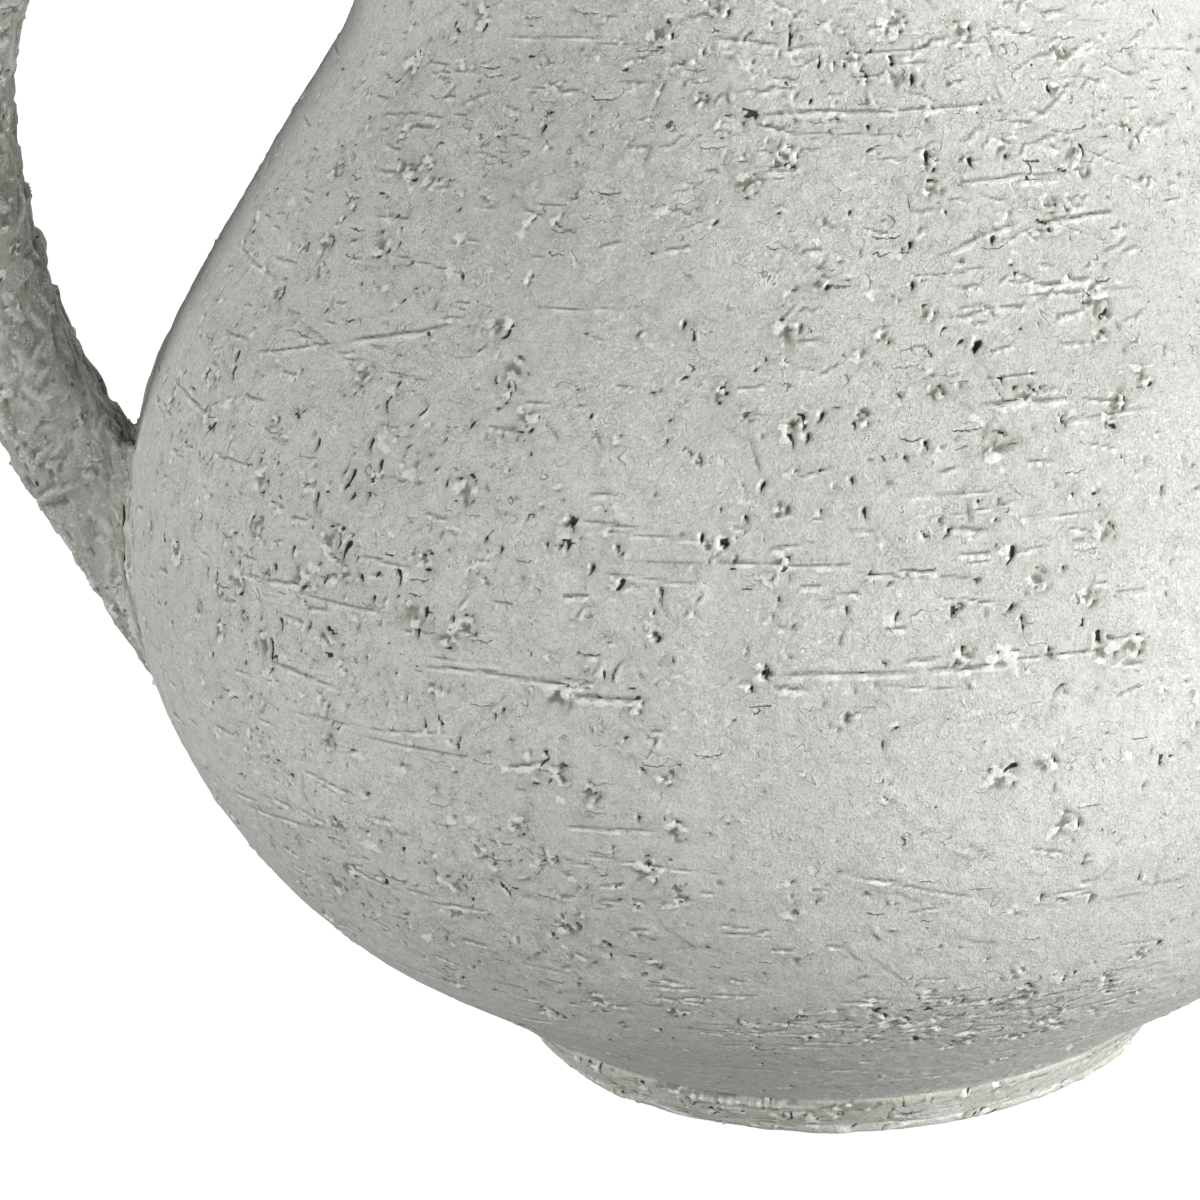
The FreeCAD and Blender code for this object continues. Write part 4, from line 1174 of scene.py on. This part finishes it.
def make_walls():
    columns, last_close = ring_columns(BELLY_RADIUS, FINE_STEP, ROUGH_STEP, FINE_FROM, FINE_TO)
    seam = OUTER_SKIN.end_of(1)
    low, high = even_rows(0, seam, FINE_STEP), even_rows(seam, OUTER_SKIN.length, FINE_STEP)
    rows = np.concatenate([low, high[1:]])
    spots, outs = OUTER_SKIN.at(rows)
    skin = Skin(columns, rows, 2 * math.pi, spots[:, 0])
    weather_wall(skin)
    crowd_areas(skin)
    for pixel, pixel_half, amount in SMEARS_AND_SHADE_SEEN:
        middle, half, _ = area_seen(pixel, pixel_half)
        skin.shade += amount * np.exp(-skin.oval(middle, half))
    darkening_edge = on_wall(LOWER_DARKENING_PIXEL)[1] + LOWER_DARKENING_WAVE * skin.noise(60, 400, 19)
    skin.shade -= LOWER_DARKENING * (1 - smooth_step(rows[:, None], darkening_edge - 0.5, darkening_edge + 0.5))
    draw_marks_seen(skin)
    press_round_root(skin)
    skin.fade_ends(*WALL_FADES)
    height, stains_and_shade = skin.finish()
    places = on_circle(spots, outs, columns, height)
    grid = (places, grid_normals(places), stains_and_shade, columns, last_close)
    split, last, inner_seam = len(low) - 1, len(rows) - 1, INNER_SKIN.end_of(1)
    make_wall_piece("lower_wall_clay", "lower_wall", grid, (0, split), (0, inner_seam))
    make_wall_piece("upper_wall_clay", "upper_wall", grid, (split, last),
                    (inner_seam, INNER_SKIN.length))


# ---------------------------------------------------------------- neck, dome and mouth


def turned_piece(name, node, outer, steps, relief, inner=None, slot="wall_clay", move=None):
    """A turned piece with a weathered outer face and, if given, a plain inner one to close it.

    A face is a profile and the lengths along it where the face starts and ends. The steps are its
    rows and columns, and the relief is what weather_small takes."""
    profile, first, last = outer
    columns = np.linspace(-math.pi, math.pi, steps[1], endpoint=False)
    rows = np.linspace(first, last, steps[0])
    spots, outs = profile.at(rows)
    skin = Skin(columns, rows, 2 * math.pi, spots[:, 0])
    weather_small(skin, *relief)
    height, stains_and_shade = skin.finish(3)
    places = on_circle(spots, outs, columns, height)
    grids = [(places, 1)]
    if inner is not None:
        profile, first, last = inner
        rows = np.linspace(first, last, max(4, steps[0] // 4))
        spots, outs = profile.at(rows)
        back = on_circle(spots, outs, columns, np.zeros((len(rows), len(columns))))
        # The rims have points of their own, so that the faces beside them stay smooth
        grids += [(back, -1), (np.stack([places[-1], back[-1]]), 1),
                  (np.stack([places[0], back[0]]), -1)]
    faces, start = [], 0
    for grid, way in grids:
        faces.append(grid_faces(numbered(grid, start))[:, ::way])
        start += grid.size // 3
    places = np.concatenate([grid.reshape(-1, 3) for grid, _ in grids])
    add_piece(name, slot, node, places if move is None else move(places), faces, stains_and_shade)


def weather_small(skin, seed, marks, bump, fade, grain=0.07):
    """Unevenness, grain and some marks for a small turned piece, fading at its two ends."""
    skin.height += bump * skin.noise(26, 9, seed) + 0.5 * bump * skin.noise(9, 5, seed + 1)
    skin.height += grain * skin.noise(2.8, 2.2, seed + 2)
    first, run = skin.rows[0], skin.rows[-1] - skin.rows[0]
    places = [(among(-math.pi, math.pi), first + among(0.02, 0.98) * run) for _ in range(marks)]
    throw_marks(skin, places, USUAL, 0.8)
    skin.fade_ends(*fade)


def whole(profile):
    return profile, 0, profile.length


def hollow_run(start, end, sag):
    """A fillet's profile: an arc between two points that sags inward by a share of its length."""
    start, end = np.array(start, float), np.array(end, float)
    run = end - start
    length = np.hypot(*run)
    out = np.array([run[1], -run[0]]) / length
    share = np.linspace(0, 1, 160)[:, None]
    points = start + share * run - out * sag * length * (4 * share * (1 - share)) * 0.5
    steps = np.gradient(points, axis=0)
    normals = np.stack([steps[:, 1], -steps[:, 0]], 1)
    return Profile((points, normals / np.hypot(*normals.T)[:, None]))


def make_top():
    outer, inner = top_profile(0, COLLAR_RADIUS), top_profile(WALL, MOUTH_BORE_RADIUS)
    split, inner_split = outer.end_of(0), inner.end_of(0)
    turned_piece("neck_clay", "neck_wall", (outer, 0, split), (36, 470), (31, 620, 0.2, (4, 4)),
                 (inner, 0, inner_split))
    turned_piece("dome_clay", "top_dome", (outer, split, outer.length), (56, 470),
                 (37, 640, 0.22, (4, 3)), (inner, inner_split, inner.length))

    foot = dome_height(COLLAR_RADIUS)
    top = foot + COLLAR_HEIGHT
    collar = Profile(straight((COLLAR_RADIUS, foot - 1), (COLLAR_RADIUS, top)))
    bore = Profile(straight((MOUTH_BORE_RADIUS, dome_height(MOUTH_BORE_RADIUS) - WALL),
                            (MOUTH_BORE_RADIUS, top)))
    turned_piece("collar_clay", "mouth_collar", whole(collar), (26, 170), (41, 90, 0.22, (2, 1.5)),
                 whole(bore))
    roll, lip_top = LIP_HEIGHT / 2, top + LIP_HEIGHT
    bend = (MOUTH_BORE_RADIUS + LIP_ROUND, lip_top - LIP_ROUND)
    lip = Profile(
        straight((COLLAR_RADIUS - 0.4, top), (COLLAR_RADIUS, top)),
        round_run((COLLAR_RADIUS, top + roll), roll, -90, 90),
        straight((COLLAR_RADIUS, lip_top), (bend[0], lip_top)),
        round_run(bend, LIP_ROUND, 90, 180),
        straight((MOUTH_BORE_RADIUS, bend[1]), (MOUTH_BORE_RADIUS, top)),
    )
    turned_piece("lip_clay", "mouth_lip", whole(lip), (44, 200), (43, 120, 0.3, (1.5, 1.5)))
    edge = COLLAR_RADIUS + MOUTH_COIL_WIDTH
    joint = hollow_run((edge, dome_height(edge)), (COLLAR_RADIUS, foot + MOUTH_COIL_HEIGHT), 0.30)
    turned_piece("mouth_joint_clay", "mouth_root_coil", whole(joint), (22, 190),
                 (47, 60, 0.35, (1.2, 1.2), 0.12), slot="joint_clay")


# ---------------------------------------------------------------- foot ring

# The trimmed band along the ring's upper edge runs between these, counted from +X in degrees
LIP_BAND = (236.0, 252.0)
FOOT_ROWS = (6, 8, 10, 14, 8, 6)
FOOT_STEPS = (0.55, 1.5)
FOOT_FINE_FROM, FOOT_FINE_TO = -192.0, -5.0
FOOT_MARKS, FOOT_TICKS = 900, 70
FOOT_TORN = (-1.5, 0)
BAND_STEP = 0.045
ALL = slice(None)


def banded(degrees):
    """How much of the trimmed band there is at an angle, from 0 to 1."""
    turn, (first, last) = degrees % 360, LIP_BAND
    return smooth_step(turn, first - 6, first + 3) * (1 - smooth_step(turn, last - 3, last + 9))


def trim_upper_edge(skin, edge):
    """The band that a trimming tool left along the ring's upper edge, and nicks elsewhere."""
    for angle in np.arange(-math.pi, math.pi, BAND_STEP):
        spot = skin.near(angle + sway() * 0.01)
        band = banded(math.degrees(angle))
        if band > 0.2:
            lip = wander(among(4.0, 7.0), sway() * 1.5, 0.07)
            skin.straw((spot, edge - 0.4 + sway() * 0.12), lip, 0.9, 0.35 * band, 0.6 * band, 0.0)
            line = wander(among(3.5, 6.0), sway() * 1.5, 0.05)
            skin.slit((spot, edge - 2.3 + sway() * 0.1), line, among(0.1, 0.3), 0.4,
                      among(0.55, 0.85) * band, 0.3)
        elif among() < 0.5:
            line = wander(among(1.5, 4.0), sway() * 6, 0.12)
            skin.slit((spot, edge - among(0.2, 1.2)), line, 0.15, 0.3, among(0.3, 0.7), 0.5)
    for _ in range(FOOT_TICKS):
        angle = math.radians(among(-178, -112) if among() < 0.7 else among(-180, 180))
        length = among(1.2, 4.2)
        tick = bent(length, 90 + sway() * 10, among(-0.3, 0.3))
        skin.slit((skin.near(angle), edge - 0.6 - length / 2), tick, among(0.14, 0.24), 0.5,
                  among(0.5, 0.9), 0.2)


def make_foot():
    sole = FOOT_RADIUS - FOOT_TAPER
    heel = (sole - FOOT_SOLE_ROUND, 0.0)
    shoulder = (FOOT_RADIUS, FOOT_HEIGHT - FOOT_CREASE)
    crest = (FOOT_RADIUS - FOOT_CREASE, FOOT_HEIGHT)
    inner_top, inner_low = (FOOT_INNER_RADIUS, FOOT_HEIGHT), (FOOT_INNER_RADIUS, 0.0)
    ring = Profile(
        straight(inner_top, inner_low),
        straight(inner_low, heel),
        round_run((heel[0], FOOT_SOLE_ROUND), FOOT_SOLE_ROUND, -90, 0),
        straight((sole, FOOT_SOLE_ROUND), shoulder),
        round_run((crest[0], shoulder[1]), FOOT_CREASE, 0, 90),
        straight(crest, inner_top),
    )
    ends = [0.0] + [ring.end_of(k) for k in range(len(FOOT_ROWS))]
    heel_end, flank_end, crest_end = ends[2], ends[4], ends[5]
    rows = np.append(np.concatenate([
        np.linspace(ends[k], ends[k + 1], count, endpoint=False)
        for k, count in enumerate(FOOT_ROWS)]), ring.length)
    columns, _ = ring_columns(FOOT_RADIUS, *FOOT_STEPS, FOOT_FINE_FROM, FOOT_FINE_TO)
    spots, outs = ring.at(rows)
    skin = Skin(columns, rows, 2 * math.pi, spots[:, 0])
    skin.height += 0.32 * skin.noise(34, 6, 61) + 0.20 * skin.noise(9, 3, 62)
    skin.height += 0.08 * skin.noise(2.4, 2, 63)
    # The trimming tool leaves a sharper corner than the plain ring's rounding
    skin.height += 0.75 * np.exp(-((rows - (flank_end + crest_end) / 2) / 0.8) ** 2)[:, None]
    for _ in range(FOOT_MARKS):
        turn = among(-math.pi, math.pi)
        kinds = TORN if FOOT_TORN[0] < turn < FOOT_TORN[1] else USUAL
        throw_marks(skin, [(turn, among(heel_end, flank_end + 1.0))], kinds, 0.7)
    trim_upper_edge(skin, flank_end + 0.4)
    skin.stain(skin.warm, ALL, 0.3 * smooth_step(skin.noise(20, 12, 64), 0.3, 1.6))
    turned_in = smooth_step(rows, flank_end - 0.5, flank_end + 0.6)[:, None]
    unbanded = (1 - banded(np.degrees(skin.columns)))[None, :]
    # Painted shade, with some brown, on the ring's turned-in top outside the trimmed band
    skin.shade -= 0.30 * turned_in * unbanded
    skin.shade += 0.02 + 0.22 * skin.noise(9, 4, 65)
    # A painted brown shadow in the crease under the wall
    crease = smooth_step(rows, flank_end + 1.8, crest_end)[:, None]
    skin.stain(skin.warm, ALL, 0.5 * turned_in * unbanded)
    skin.stain(skin.warm, ALL, 0.9 * crease)
    skin.stain(skin.dark, ALL, 0.5 * crease)
    # The sole stays flat, and the top stays under the wall
    keep = smooth_step(rows, heel_end - 0.5, heel_end + 2.0)
    skin.height *= (keep * (1 - smooth_step(rows, crest_end - 0.8, crest_end)))[:, None]
    height, stains_and_shade = skin.finish(3)
    places = on_circle(spots, outs, columns, height)
    places[..., 2] = np.maximum(places[..., 2], 0)
    index = numbered(places)
    index[-1] = index[0]
    add_piece("foot_clay_ring", "foot_clay", "foot_ring", places, [grid_faces(index)], stains_and_shade)


# ---------------------------------------------------------------- handle

HANDLE_COLUMNS = 128
HANDLE_FINE_TO, HANDLE_FINE_STEP, HANDLE_ROUGH_STEP = 175.0, 0.65, 1.2
HANDLE_SMEARS, HANDLE_MARKS = 1500, 900


def rounded_section(half_out, half_across, corner):
    """The handle's section, round its middle: out from the vessel, and across."""
    flat_out, flat_across = half_out - corner, half_across - corner
    return Profile(
        straight((half_out, -flat_across), (half_out, flat_across)),
        round_run((flat_out, flat_across), corner, 0, 90),
        straight((flat_out, half_across), (-flat_out, half_across)),
        round_run((-flat_out, flat_across), corner, 90, 180),
        straight((-half_out, flat_across), (-half_out, -flat_across)),
        round_run((-flat_out, -flat_across), corner, 180, 270),
        straight((-flat_out, -half_across), (flat_out, -half_across)),
        round_run((flat_out, -flat_across), corner, 270, 360),
    )


def handle_path():
    """The handle's middle line, from inside the belly's wall to inside the neck's."""
    far = BELLY_RADIUS + HANDLE_STAND_OFF
    root_z = BELLY_HEIGHT + HANDLE_ROOT_RISE
    c, s = wave(HANDLE_LEAN)
    bend_start_r = far - HANDLE_BEND_RADIUS * (1 - c)
    bend_start_z = root_z + (bend_start_r - BELLY_RADIUS) * c / s
    bend_end_z = bend_start_z + HANDLE_BEND_RADIUS * s
    top = neck_start + HANDLE_SEAT_RISE
    turn = HANDLE_TURN_SHARE * (top - bend_end_z)
    foot = (BELLY_RADIUS - HANDLE_OVERRUN * s, root_z - HANDLE_OVERRUN * c)
    return Profile(
        straight(foot, (bend_start_r, bend_start_z)),
        round_run((far - HANDLE_BEND_RADIUS, bend_end_z), HANDLE_BEND_RADIUS, -HANDLE_LEAN, 0),
        straight((far, bend_end_z), (far, top - turn)),
        round_run((far - turn, top - turn), turn, 0, 90),
        straight((far - turn, top), (NECK_RADIUS - HANDLE_HEAD_DEPTH, top)),
    )


HANDLE_PATH = handle_path()
HANDLE_SECTION = rounded_section(HANDLE_THICKNESS / 2, HANDLE_WIDTH / 2, HANDLE_EDGE_ROUND)


def handle_points(around, along, height=0.0):
    """Points of the handle's surface, at lengths round the section and along the path."""
    spot, out = HANDLE_PATH.at(along)
    section, side = HANDLE_SECTION.at(around)
    n, b = section[..., 0] + side[..., 0] * height, section[..., 1] + side[..., 1] * height
    x, y, z = -(spot[..., 0] + out[..., 0] * n), -b, spot[..., 1] + out[..., 1] * n
    return np.stack(np.broadcast_arrays(x, y, z), -1)


def handle_tube(share, along):
    return handle_points(share * HANDLE_SECTION.length, along)


def make_handle():
    rows = np.concatenate([np.arange(0, HANDLE_FINE_TO, HANDLE_FINE_STEP),
                           np.arange(HANDLE_FINE_TO, HANDLE_PATH.length, HANDLE_ROUGH_STEP)])
    around = HANDLE_SECTION.length
    columns = np.linspace(0, around, HANDLE_COLUMNS, endpoint=False)
    skin = Skin(columns, rows, around, 1.0)
    skin.height += 0.6 * skin.noise(20, 24, 71)
    for _ in range(HANDLE_SMEARS):
        place = (among(0, around), among(0, rows[-1]))
        skin.smear(place, among(1.4, 3.6), among(1.3, 2.8), sway() * 35 + 60, sway() * 0.22 + 0.12,
                   sway(size=2) * 0.62)
    skin.height += 0.10 * skin.noise(3.2, 3.2, 72) + 0.07 * skin.noise(1.7, 1.7, 73)
    skin.shade += 0.30 * skin.noise(14, 22, 74) + 0.30 * skin.noise(6, 8, 75)
    places = [(among(0, around), among(0, rows[-1])) for _ in range(HANDLE_MARKS)]
    throw_marks(skin, places, PRESSED)
    height, stains_and_shade = skin.finish(5, 0.3)
    points = handle_points(columns[None, :], rows[:, None], height)
    index = numbered(points)
    add_piece("handle_clay_strap", "handle_clay", "handle", points,
              [grid_faces(index), index[:1, ::-1], index[-1:]], stains_and_shade)


# ---------------------------------------------------------------- clay pressed round a root

FILLET_COLUMNS, FILLET_ROWS = 200, 30
FILLET_SEARCH_STEP = 0.25
FILLET_SINK = 0.5
# How much of a fillet's hollow comes from its corner, and how much from each of its two edges
KNEE_CORNER, KNEE_EDGE = 0.82, 0.09
SMEARS_PER_MM, MARKS_PER_MM = 1.6, 0.7
CRACK_HOLES, CRACK_STEP, CRACK_ROW = 9, 0.011, 0.47
# How a fillet's height and reach vary round it: size, waves in a turn, and lag
CLIMB_WAVES = ((0.22, 3, 1), (0.14, 7, 0), (0.10, 13, 2))
REACH_WAVES = ((0.24, 2, 2), (0.16, 5, 0), (0.10, 11, 0))


def outer_radius(height):
    """The vessel's outer radius at a height, up to the top of the neck."""
    z = np.append(OUTER_SKIN.points[:, 1], neck_top)
    r = np.append(OUTER_SKIN.points[:, 0], NECK_RADIUS)
    return np.interp(height, z, r)


def waved(turn, waves):
    return 1 + sum(size * np.sin(count * turn + lag) for size, count, lag in waves)


def unit(vectors):
    return vectors / np.linalg.norm(vectors, axis=1)[:, None]


def fillet_surface(tube, from_foot, length, climb, reach):
    """A grid of places from the wall up onto the tube, and the length of the corner under it."""
    columns = np.linspace(0, 1, FILLET_COLUMNS, endpoint=False)
    along = np.arange(0, length, FILLET_SEARCH_STEP)
    points = tube(columns[None, :], along[:, None])
    inside = np.hypot(points[..., 0], points[..., 1]) < outer_radius(points[..., 2])
    if not from_foot:
        inside = inside[::-1]
    last_inside = len(along) - 1 - np.argmax(inside[::-1], 0)
    crossing = along[last_inside] if from_foot else along[len(along) - 1 - last_inside]
    way = 1 if from_foot else -1
    turn = 2 * math.pi * columns
    corner = tube(columns, crossing)
    high = tube(columns, crossing + way * climb * waved(turn, CLIMB_WAVES))
    r = np.hypot(corner[:, 0], corner[:, 1])
    slope = outer_radius(corner[:, 2] + 0.5) - outer_radius(corner[:, 2] - 0.5)
    normal = unit(np.stack([corner[:, 0] / r, corner[:, 1] / r, -slope], 1))
    away = corner - corner.mean(0)
    away = unit(away - (away * normal).sum(1)[:, None] * normal)
    low = corner + away * (reach * waved(turn, REACH_WAVES))[:, None]
    wide, bearing = outer_radius(low[:, 2]) - FILLET_SINK, np.arctan2(low[:, 1], low[:, 0])
    low = np.stack([wide * np.cos(bearing), wide * np.sin(bearing), low[:, 2]], 1)
    high = high + FILLET_SINK * unit(high.mean(0) - high)
    knee = KNEE_CORNER * corner + KNEE_EDGE * (low + high)
    t = np.linspace(0, 1, FILLET_ROWS)[:, None, None]
    places = (1 - t) ** 2 * low + 2 * t * (1 - t) * knee + t ** 2 * high
    around = float(np.linalg.norm(np.diff(corner, axis=0), axis=1).sum())
    return (places if from_foot else places[:, ::-1]), around


def crack_fillet(skin, hollow_at, crack):
    """Holes at one share of the turn, and a crack along the corner between two shares."""
    around, last = skin.around, skin.rows[-1]
    for _ in range(CRACK_HOLES):
        place = (around * hollow_at + sway() * 3.5, last * among(0.3, 0.6))
        skin.pit(place, among(0.8, 1.8), among(1.2, 2.4), among(-20, 20), 0.9, 1.0, 0.8, 0.6)
    for share in np.arange(*crack, CRACK_STEP):
        place = (around * share, last * (CRACK_ROW + 0.03 * sway()))
        line = bent(around * 0.03, sway() * 14, 0.2)
        skin.slit(place, line, among(0.4, 1.0), 1.1, 1.0, 0.8)


def fillet_piece(name, node, surface, seed, lump, cracked=None):
    """Clay pressed into the corner between a tube and the vessel's wall, all the way round.

    surface is what fillet_surface takes: the tube gives points of its own surface, at a share
    round it and a length along it."""
    places, around = fillet_surface(*surface)
    _, _, _, climb, reach = surface
    rows = np.linspace(0, climb + reach, FILLET_ROWS)
    columns = np.linspace(0, 1, FILLET_COLUMNS, endpoint=False)
    skin = Skin(columns * around, rows, around, 1.0)
    skin.height += 0.5 * lump * skin.noise(14, 8, seed)
    for _ in range(int(around * SMEARS_PER_MM)):
        place = (among(0, around), among(0, rows[-1]))
        skin.smear(place, among(1.4, 3.2), among(1.2, 2.4), among(0, 180),
                   lump * (0.3 + 0.5 * sway()), sway(size=2) * 0.4)
    skin.height += 0.12 * skin.noise(2.6, 2.2, seed + 1)
    count = int(around * MARKS_PER_MM)
    throw_marks(skin, [(among(0, around), among(0, rows[-1])) for _ in range(count)], TORN)
    if cracked is not None:
        crack_fillet(skin, *cracked)
    skin.fade_ends(2.5, 2.5)
    height, stains_and_shade = skin.finish(4, 0.3)
    places = places + grid_normals(places) * height[..., None]
    add_piece(name, "joint_clay", node, places, [grid_faces(numbered(places))], stains_and_shade)


# ---------------------------------------------------------------- spout

SPOUT_UNDER, SPOUT_TUBE_UNDER = 16.0, 20
spout_c, spout_s = wave(SPOUT_LIFT)
seat_up = SPOUT_SEAT_SHARE * shoulder_length
SPOUT_SEAT = np.array([upper_centre[0] + UPPER_CURVE_RADIUS * lean_c - seat_up * lean_s, 0.0,
                       BELLY_HEIGHT + UPPER_CURVE_RADIUS * lean_s + seat_up * lean_c])


def on_spout(places):
    """Moves places turned about Z onto the spout's own axis, which starts at its seat."""
    x, y, z = places[..., 0], places[..., 1], places[..., 2]
    return np.stack([x * spout_s + z * spout_c, y, z * spout_s - x * spout_c], -1) + SPOUT_SEAT


def spout_tube(share, along):
    z = along - SPOUT_TUBE_UNDER
    radius = SPOUT_ROOT_RADIUS - (SPOUT_ROOT_RADIUS - SPOUT_TIP_RADIUS) * z / SPOUT_LENGTH
    angle = 2 * math.pi * share
    return on_spout(np.stack(np.broadcast_arrays(radius * np.cos(angle), radius * np.sin(angle), z),
                             -1))


def make_spout():
    taper = (SPOUT_ROOT_RADIUS - SPOUT_TIP_RADIUS) / SPOUT_LENGTH
    outer = Profile(straight((SPOUT_ROOT_RADIUS + taper * SPOUT_UNDER, -SPOUT_UNDER),
                             (SPOUT_TIP_RADIUS, SPOUT_LENGTH)))
    throat = (SPOUT_BORE_RADIUS, SPOUT_BORE_STRAIGHT)
    bore = Profile(straight((SPOUT_BORE_RADIUS, -SPOUT_UNDER), throat),
                   straight(throat, (SPOUT_TIP_BORE_RADIUS, SPOUT_LENGTH)))
    turned_piece("spout_clay_tube", "spout_tube", whole(outer), (105, 120), (81, 330, 0.28, (2, 2)),
                 whole(bore), move=on_spout)
    near, far = SPOUT_LENGTH, SPOUT_LENGTH + SPOUT_BEAD_LENGTH
    hole, rim, rounding = SPOUT_TIP_BORE_RADIUS, SPOUT_BEAD_RADIUS, SPOUT_BEAD_ROUND
    bead = Profile(
        straight((hole, near), (rim - rounding, near)),
        round_run((rim - rounding, near + rounding), rounding, -90, 0),
        straight((rim, near + rounding), (rim, far - rounding)),
        round_run((rim - rounding, far - rounding), rounding, 0, 90),
        straight((rim - rounding, far), (hole, far)),
        straight((hole, far), (hole, near)),
    )
    turned_piece("spout_clay_bead", "spout_tip", whole(bead), (54, 96), (83, 20, 0.2, (3, 13)),
                 move=on_spout)
    fillet_piece("spout_joint_clay", "spout_root_coil", (spout_tube, True, 60, 10, 8), 85, 0.4)


# ---------------------------------------------------------------- inside, floor and light

FLOOR_HALF = 6.0
FLOOR_GREY = (0.32, 0.32, 0.32, 1.0)
FLOOR_GLOW = 0.93
WHITE = (1.0, 1.0, 1.0, 1.0)
AMBIENT = 0.10
LIGHTS_LOOK_AT = (0, 0, 0.13)
LIGHTS = {
    # azimuth, elevation, distance and size in metres, power in watts
    "key": (-32, 10, 1.9, 0.8, 36),
    "front": (-104, 9, 2.2, 0.8, 16),
    "left_back": (184, 10, 1.9, 0.8, 13),
    "back": (76, 16, 2.0, 1.0, 18),
}


def dress_inner_nodes():
    """The coils and the slab inside the vessel keep their CAD shapes and get the inner clay."""
    for node in ("belly_seam_coil", "neck_seam_coil", "base_slab"):
        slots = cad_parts[node].data.materials
        slots.clear()
        slots.append(CLAYS["inner_clay"])


def pale_floor():
    """Shows pale to the camera and in gloss, keeps shadows, and lights the object as its grey."""
    material = bpy.data.materials.new("pale_floor")
    material.use_nodes = True
    tree = material.node_tree
    n = Nodes(tree)
    shader = tree.nodes["Principled BSDF"]
    shader.inputs["Base Color"].default_value = FLOOR_GREY
    shader.inputs["Roughness"].default_value = 0.9
    path = n.add("ShaderNodeLightPath")
    seen = n.most(path.outputs["Is Camera Ray"], path.outputs["Is Glossy Ray"],
                  path.outputs["Is Transmission Ray"])
    glowing = n.add("ShaderNodeEmission", Color=WHITE, Strength=FLOOR_GLOW)
    both = n.add("ShaderNodeAddShader")
    pick = n.add("ShaderNodeMixShader")
    n.link(shader.outputs["BSDF"], both.inputs[0])
    n.link(glowing.outputs["Emission"], both.inputs[1])
    n.link(seen, pick.inputs["Fac"])
    n.link(shader.outputs["BSDF"], pick.inputs[1])
    n.link(both.outputs["Shader"], pick.inputs[2])
    n.link(pick.outputs["Shader"], tree.nodes["Material Output"].inputs["Surface"])
    return material


def add_floor():
    mesh = bpy.data.meshes.new("floor")
    corners = [(x * FLOOR_HALF, y * FLOOR_HALF, 0) for x, y in ((-1, -1), (1, -1), (1, 1), (-1, 1))]
    mesh.from_pydata(corners, [], [(0, 1, 2, 3)])
    floor = bpy.data.objects.new("floor", mesh)
    bpy.context.scene.collection.objects.link(floor)
    mesh.materials.append(pale_floor())


def add_light(name, azimuth, elevation, distance, size, power):
    """A square soft light that looks at the middle of the vessel."""
    data = bpy.data.lights.new(name, "AREA")
    data.size = size
    data.energy = power
    light = bpy.data.objects.new(name, data)
    c, s = wave(azimuth)
    up_c, up_s = wave(elevation)
    away = Vector((c * up_c, s * up_c, up_s))
    light.location = away * distance + Vector(LIGHTS_LOOK_AT)
    light.rotation_euler = away.to_track_quat("Z", "Y").to_euler()
    bpy.context.scene.collection.objects.link(light)


def add_world():
    """Dim white light from all round, behind a background that is white to the camera."""
    world = bpy.data.worlds.new("studio")
    bpy.context.scene.world = world
    world.use_nodes = True
    n = Nodes(world.node_tree)
    world.node_tree.nodes.clear()
    ambient = n.add("ShaderNodeBackground", Color=WHITE, Strength=AMBIENT)
    seen = n.add("ShaderNodeBackground", Color=WHITE, Strength=1.0)
    path = n.add("ShaderNodeLightPath")
    pick = n.add("ShaderNodeMixShader")
    out = n.add("ShaderNodeOutputWorld")
    n.link(path.outputs["Is Camera Ray"], pick.inputs["Fac"])
    n.link(ambient.outputs["Background"], pick.inputs[1])
    n.link(seen.outputs["Background"], pick.inputs[2])
    n.link(pick.outputs["Shader"], out.inputs["Surface"])


add_camera()
make_walls()
make_top()
make_foot()
make_handle()
fillet_piece("handle_root_clay", "handle_lower_pad", (handle_tube, True, 90, 9, 9), 91, 0.45,
             (0.52, (0.17, 0.37)))
fillet_piece("handle_head_clay", "handle_upper_pad",
             (handle_tube, False, HANDLE_PATH.length, 11, 9), 95, 0.6)
make_spout()
dress_inner_nodes()
add_floor()
for light_name, light_look in LIGHTS.items():
    add_light(light_name, *light_look)
add_world()

bpy.context.scene.view_settings.view_transform = "Standard"
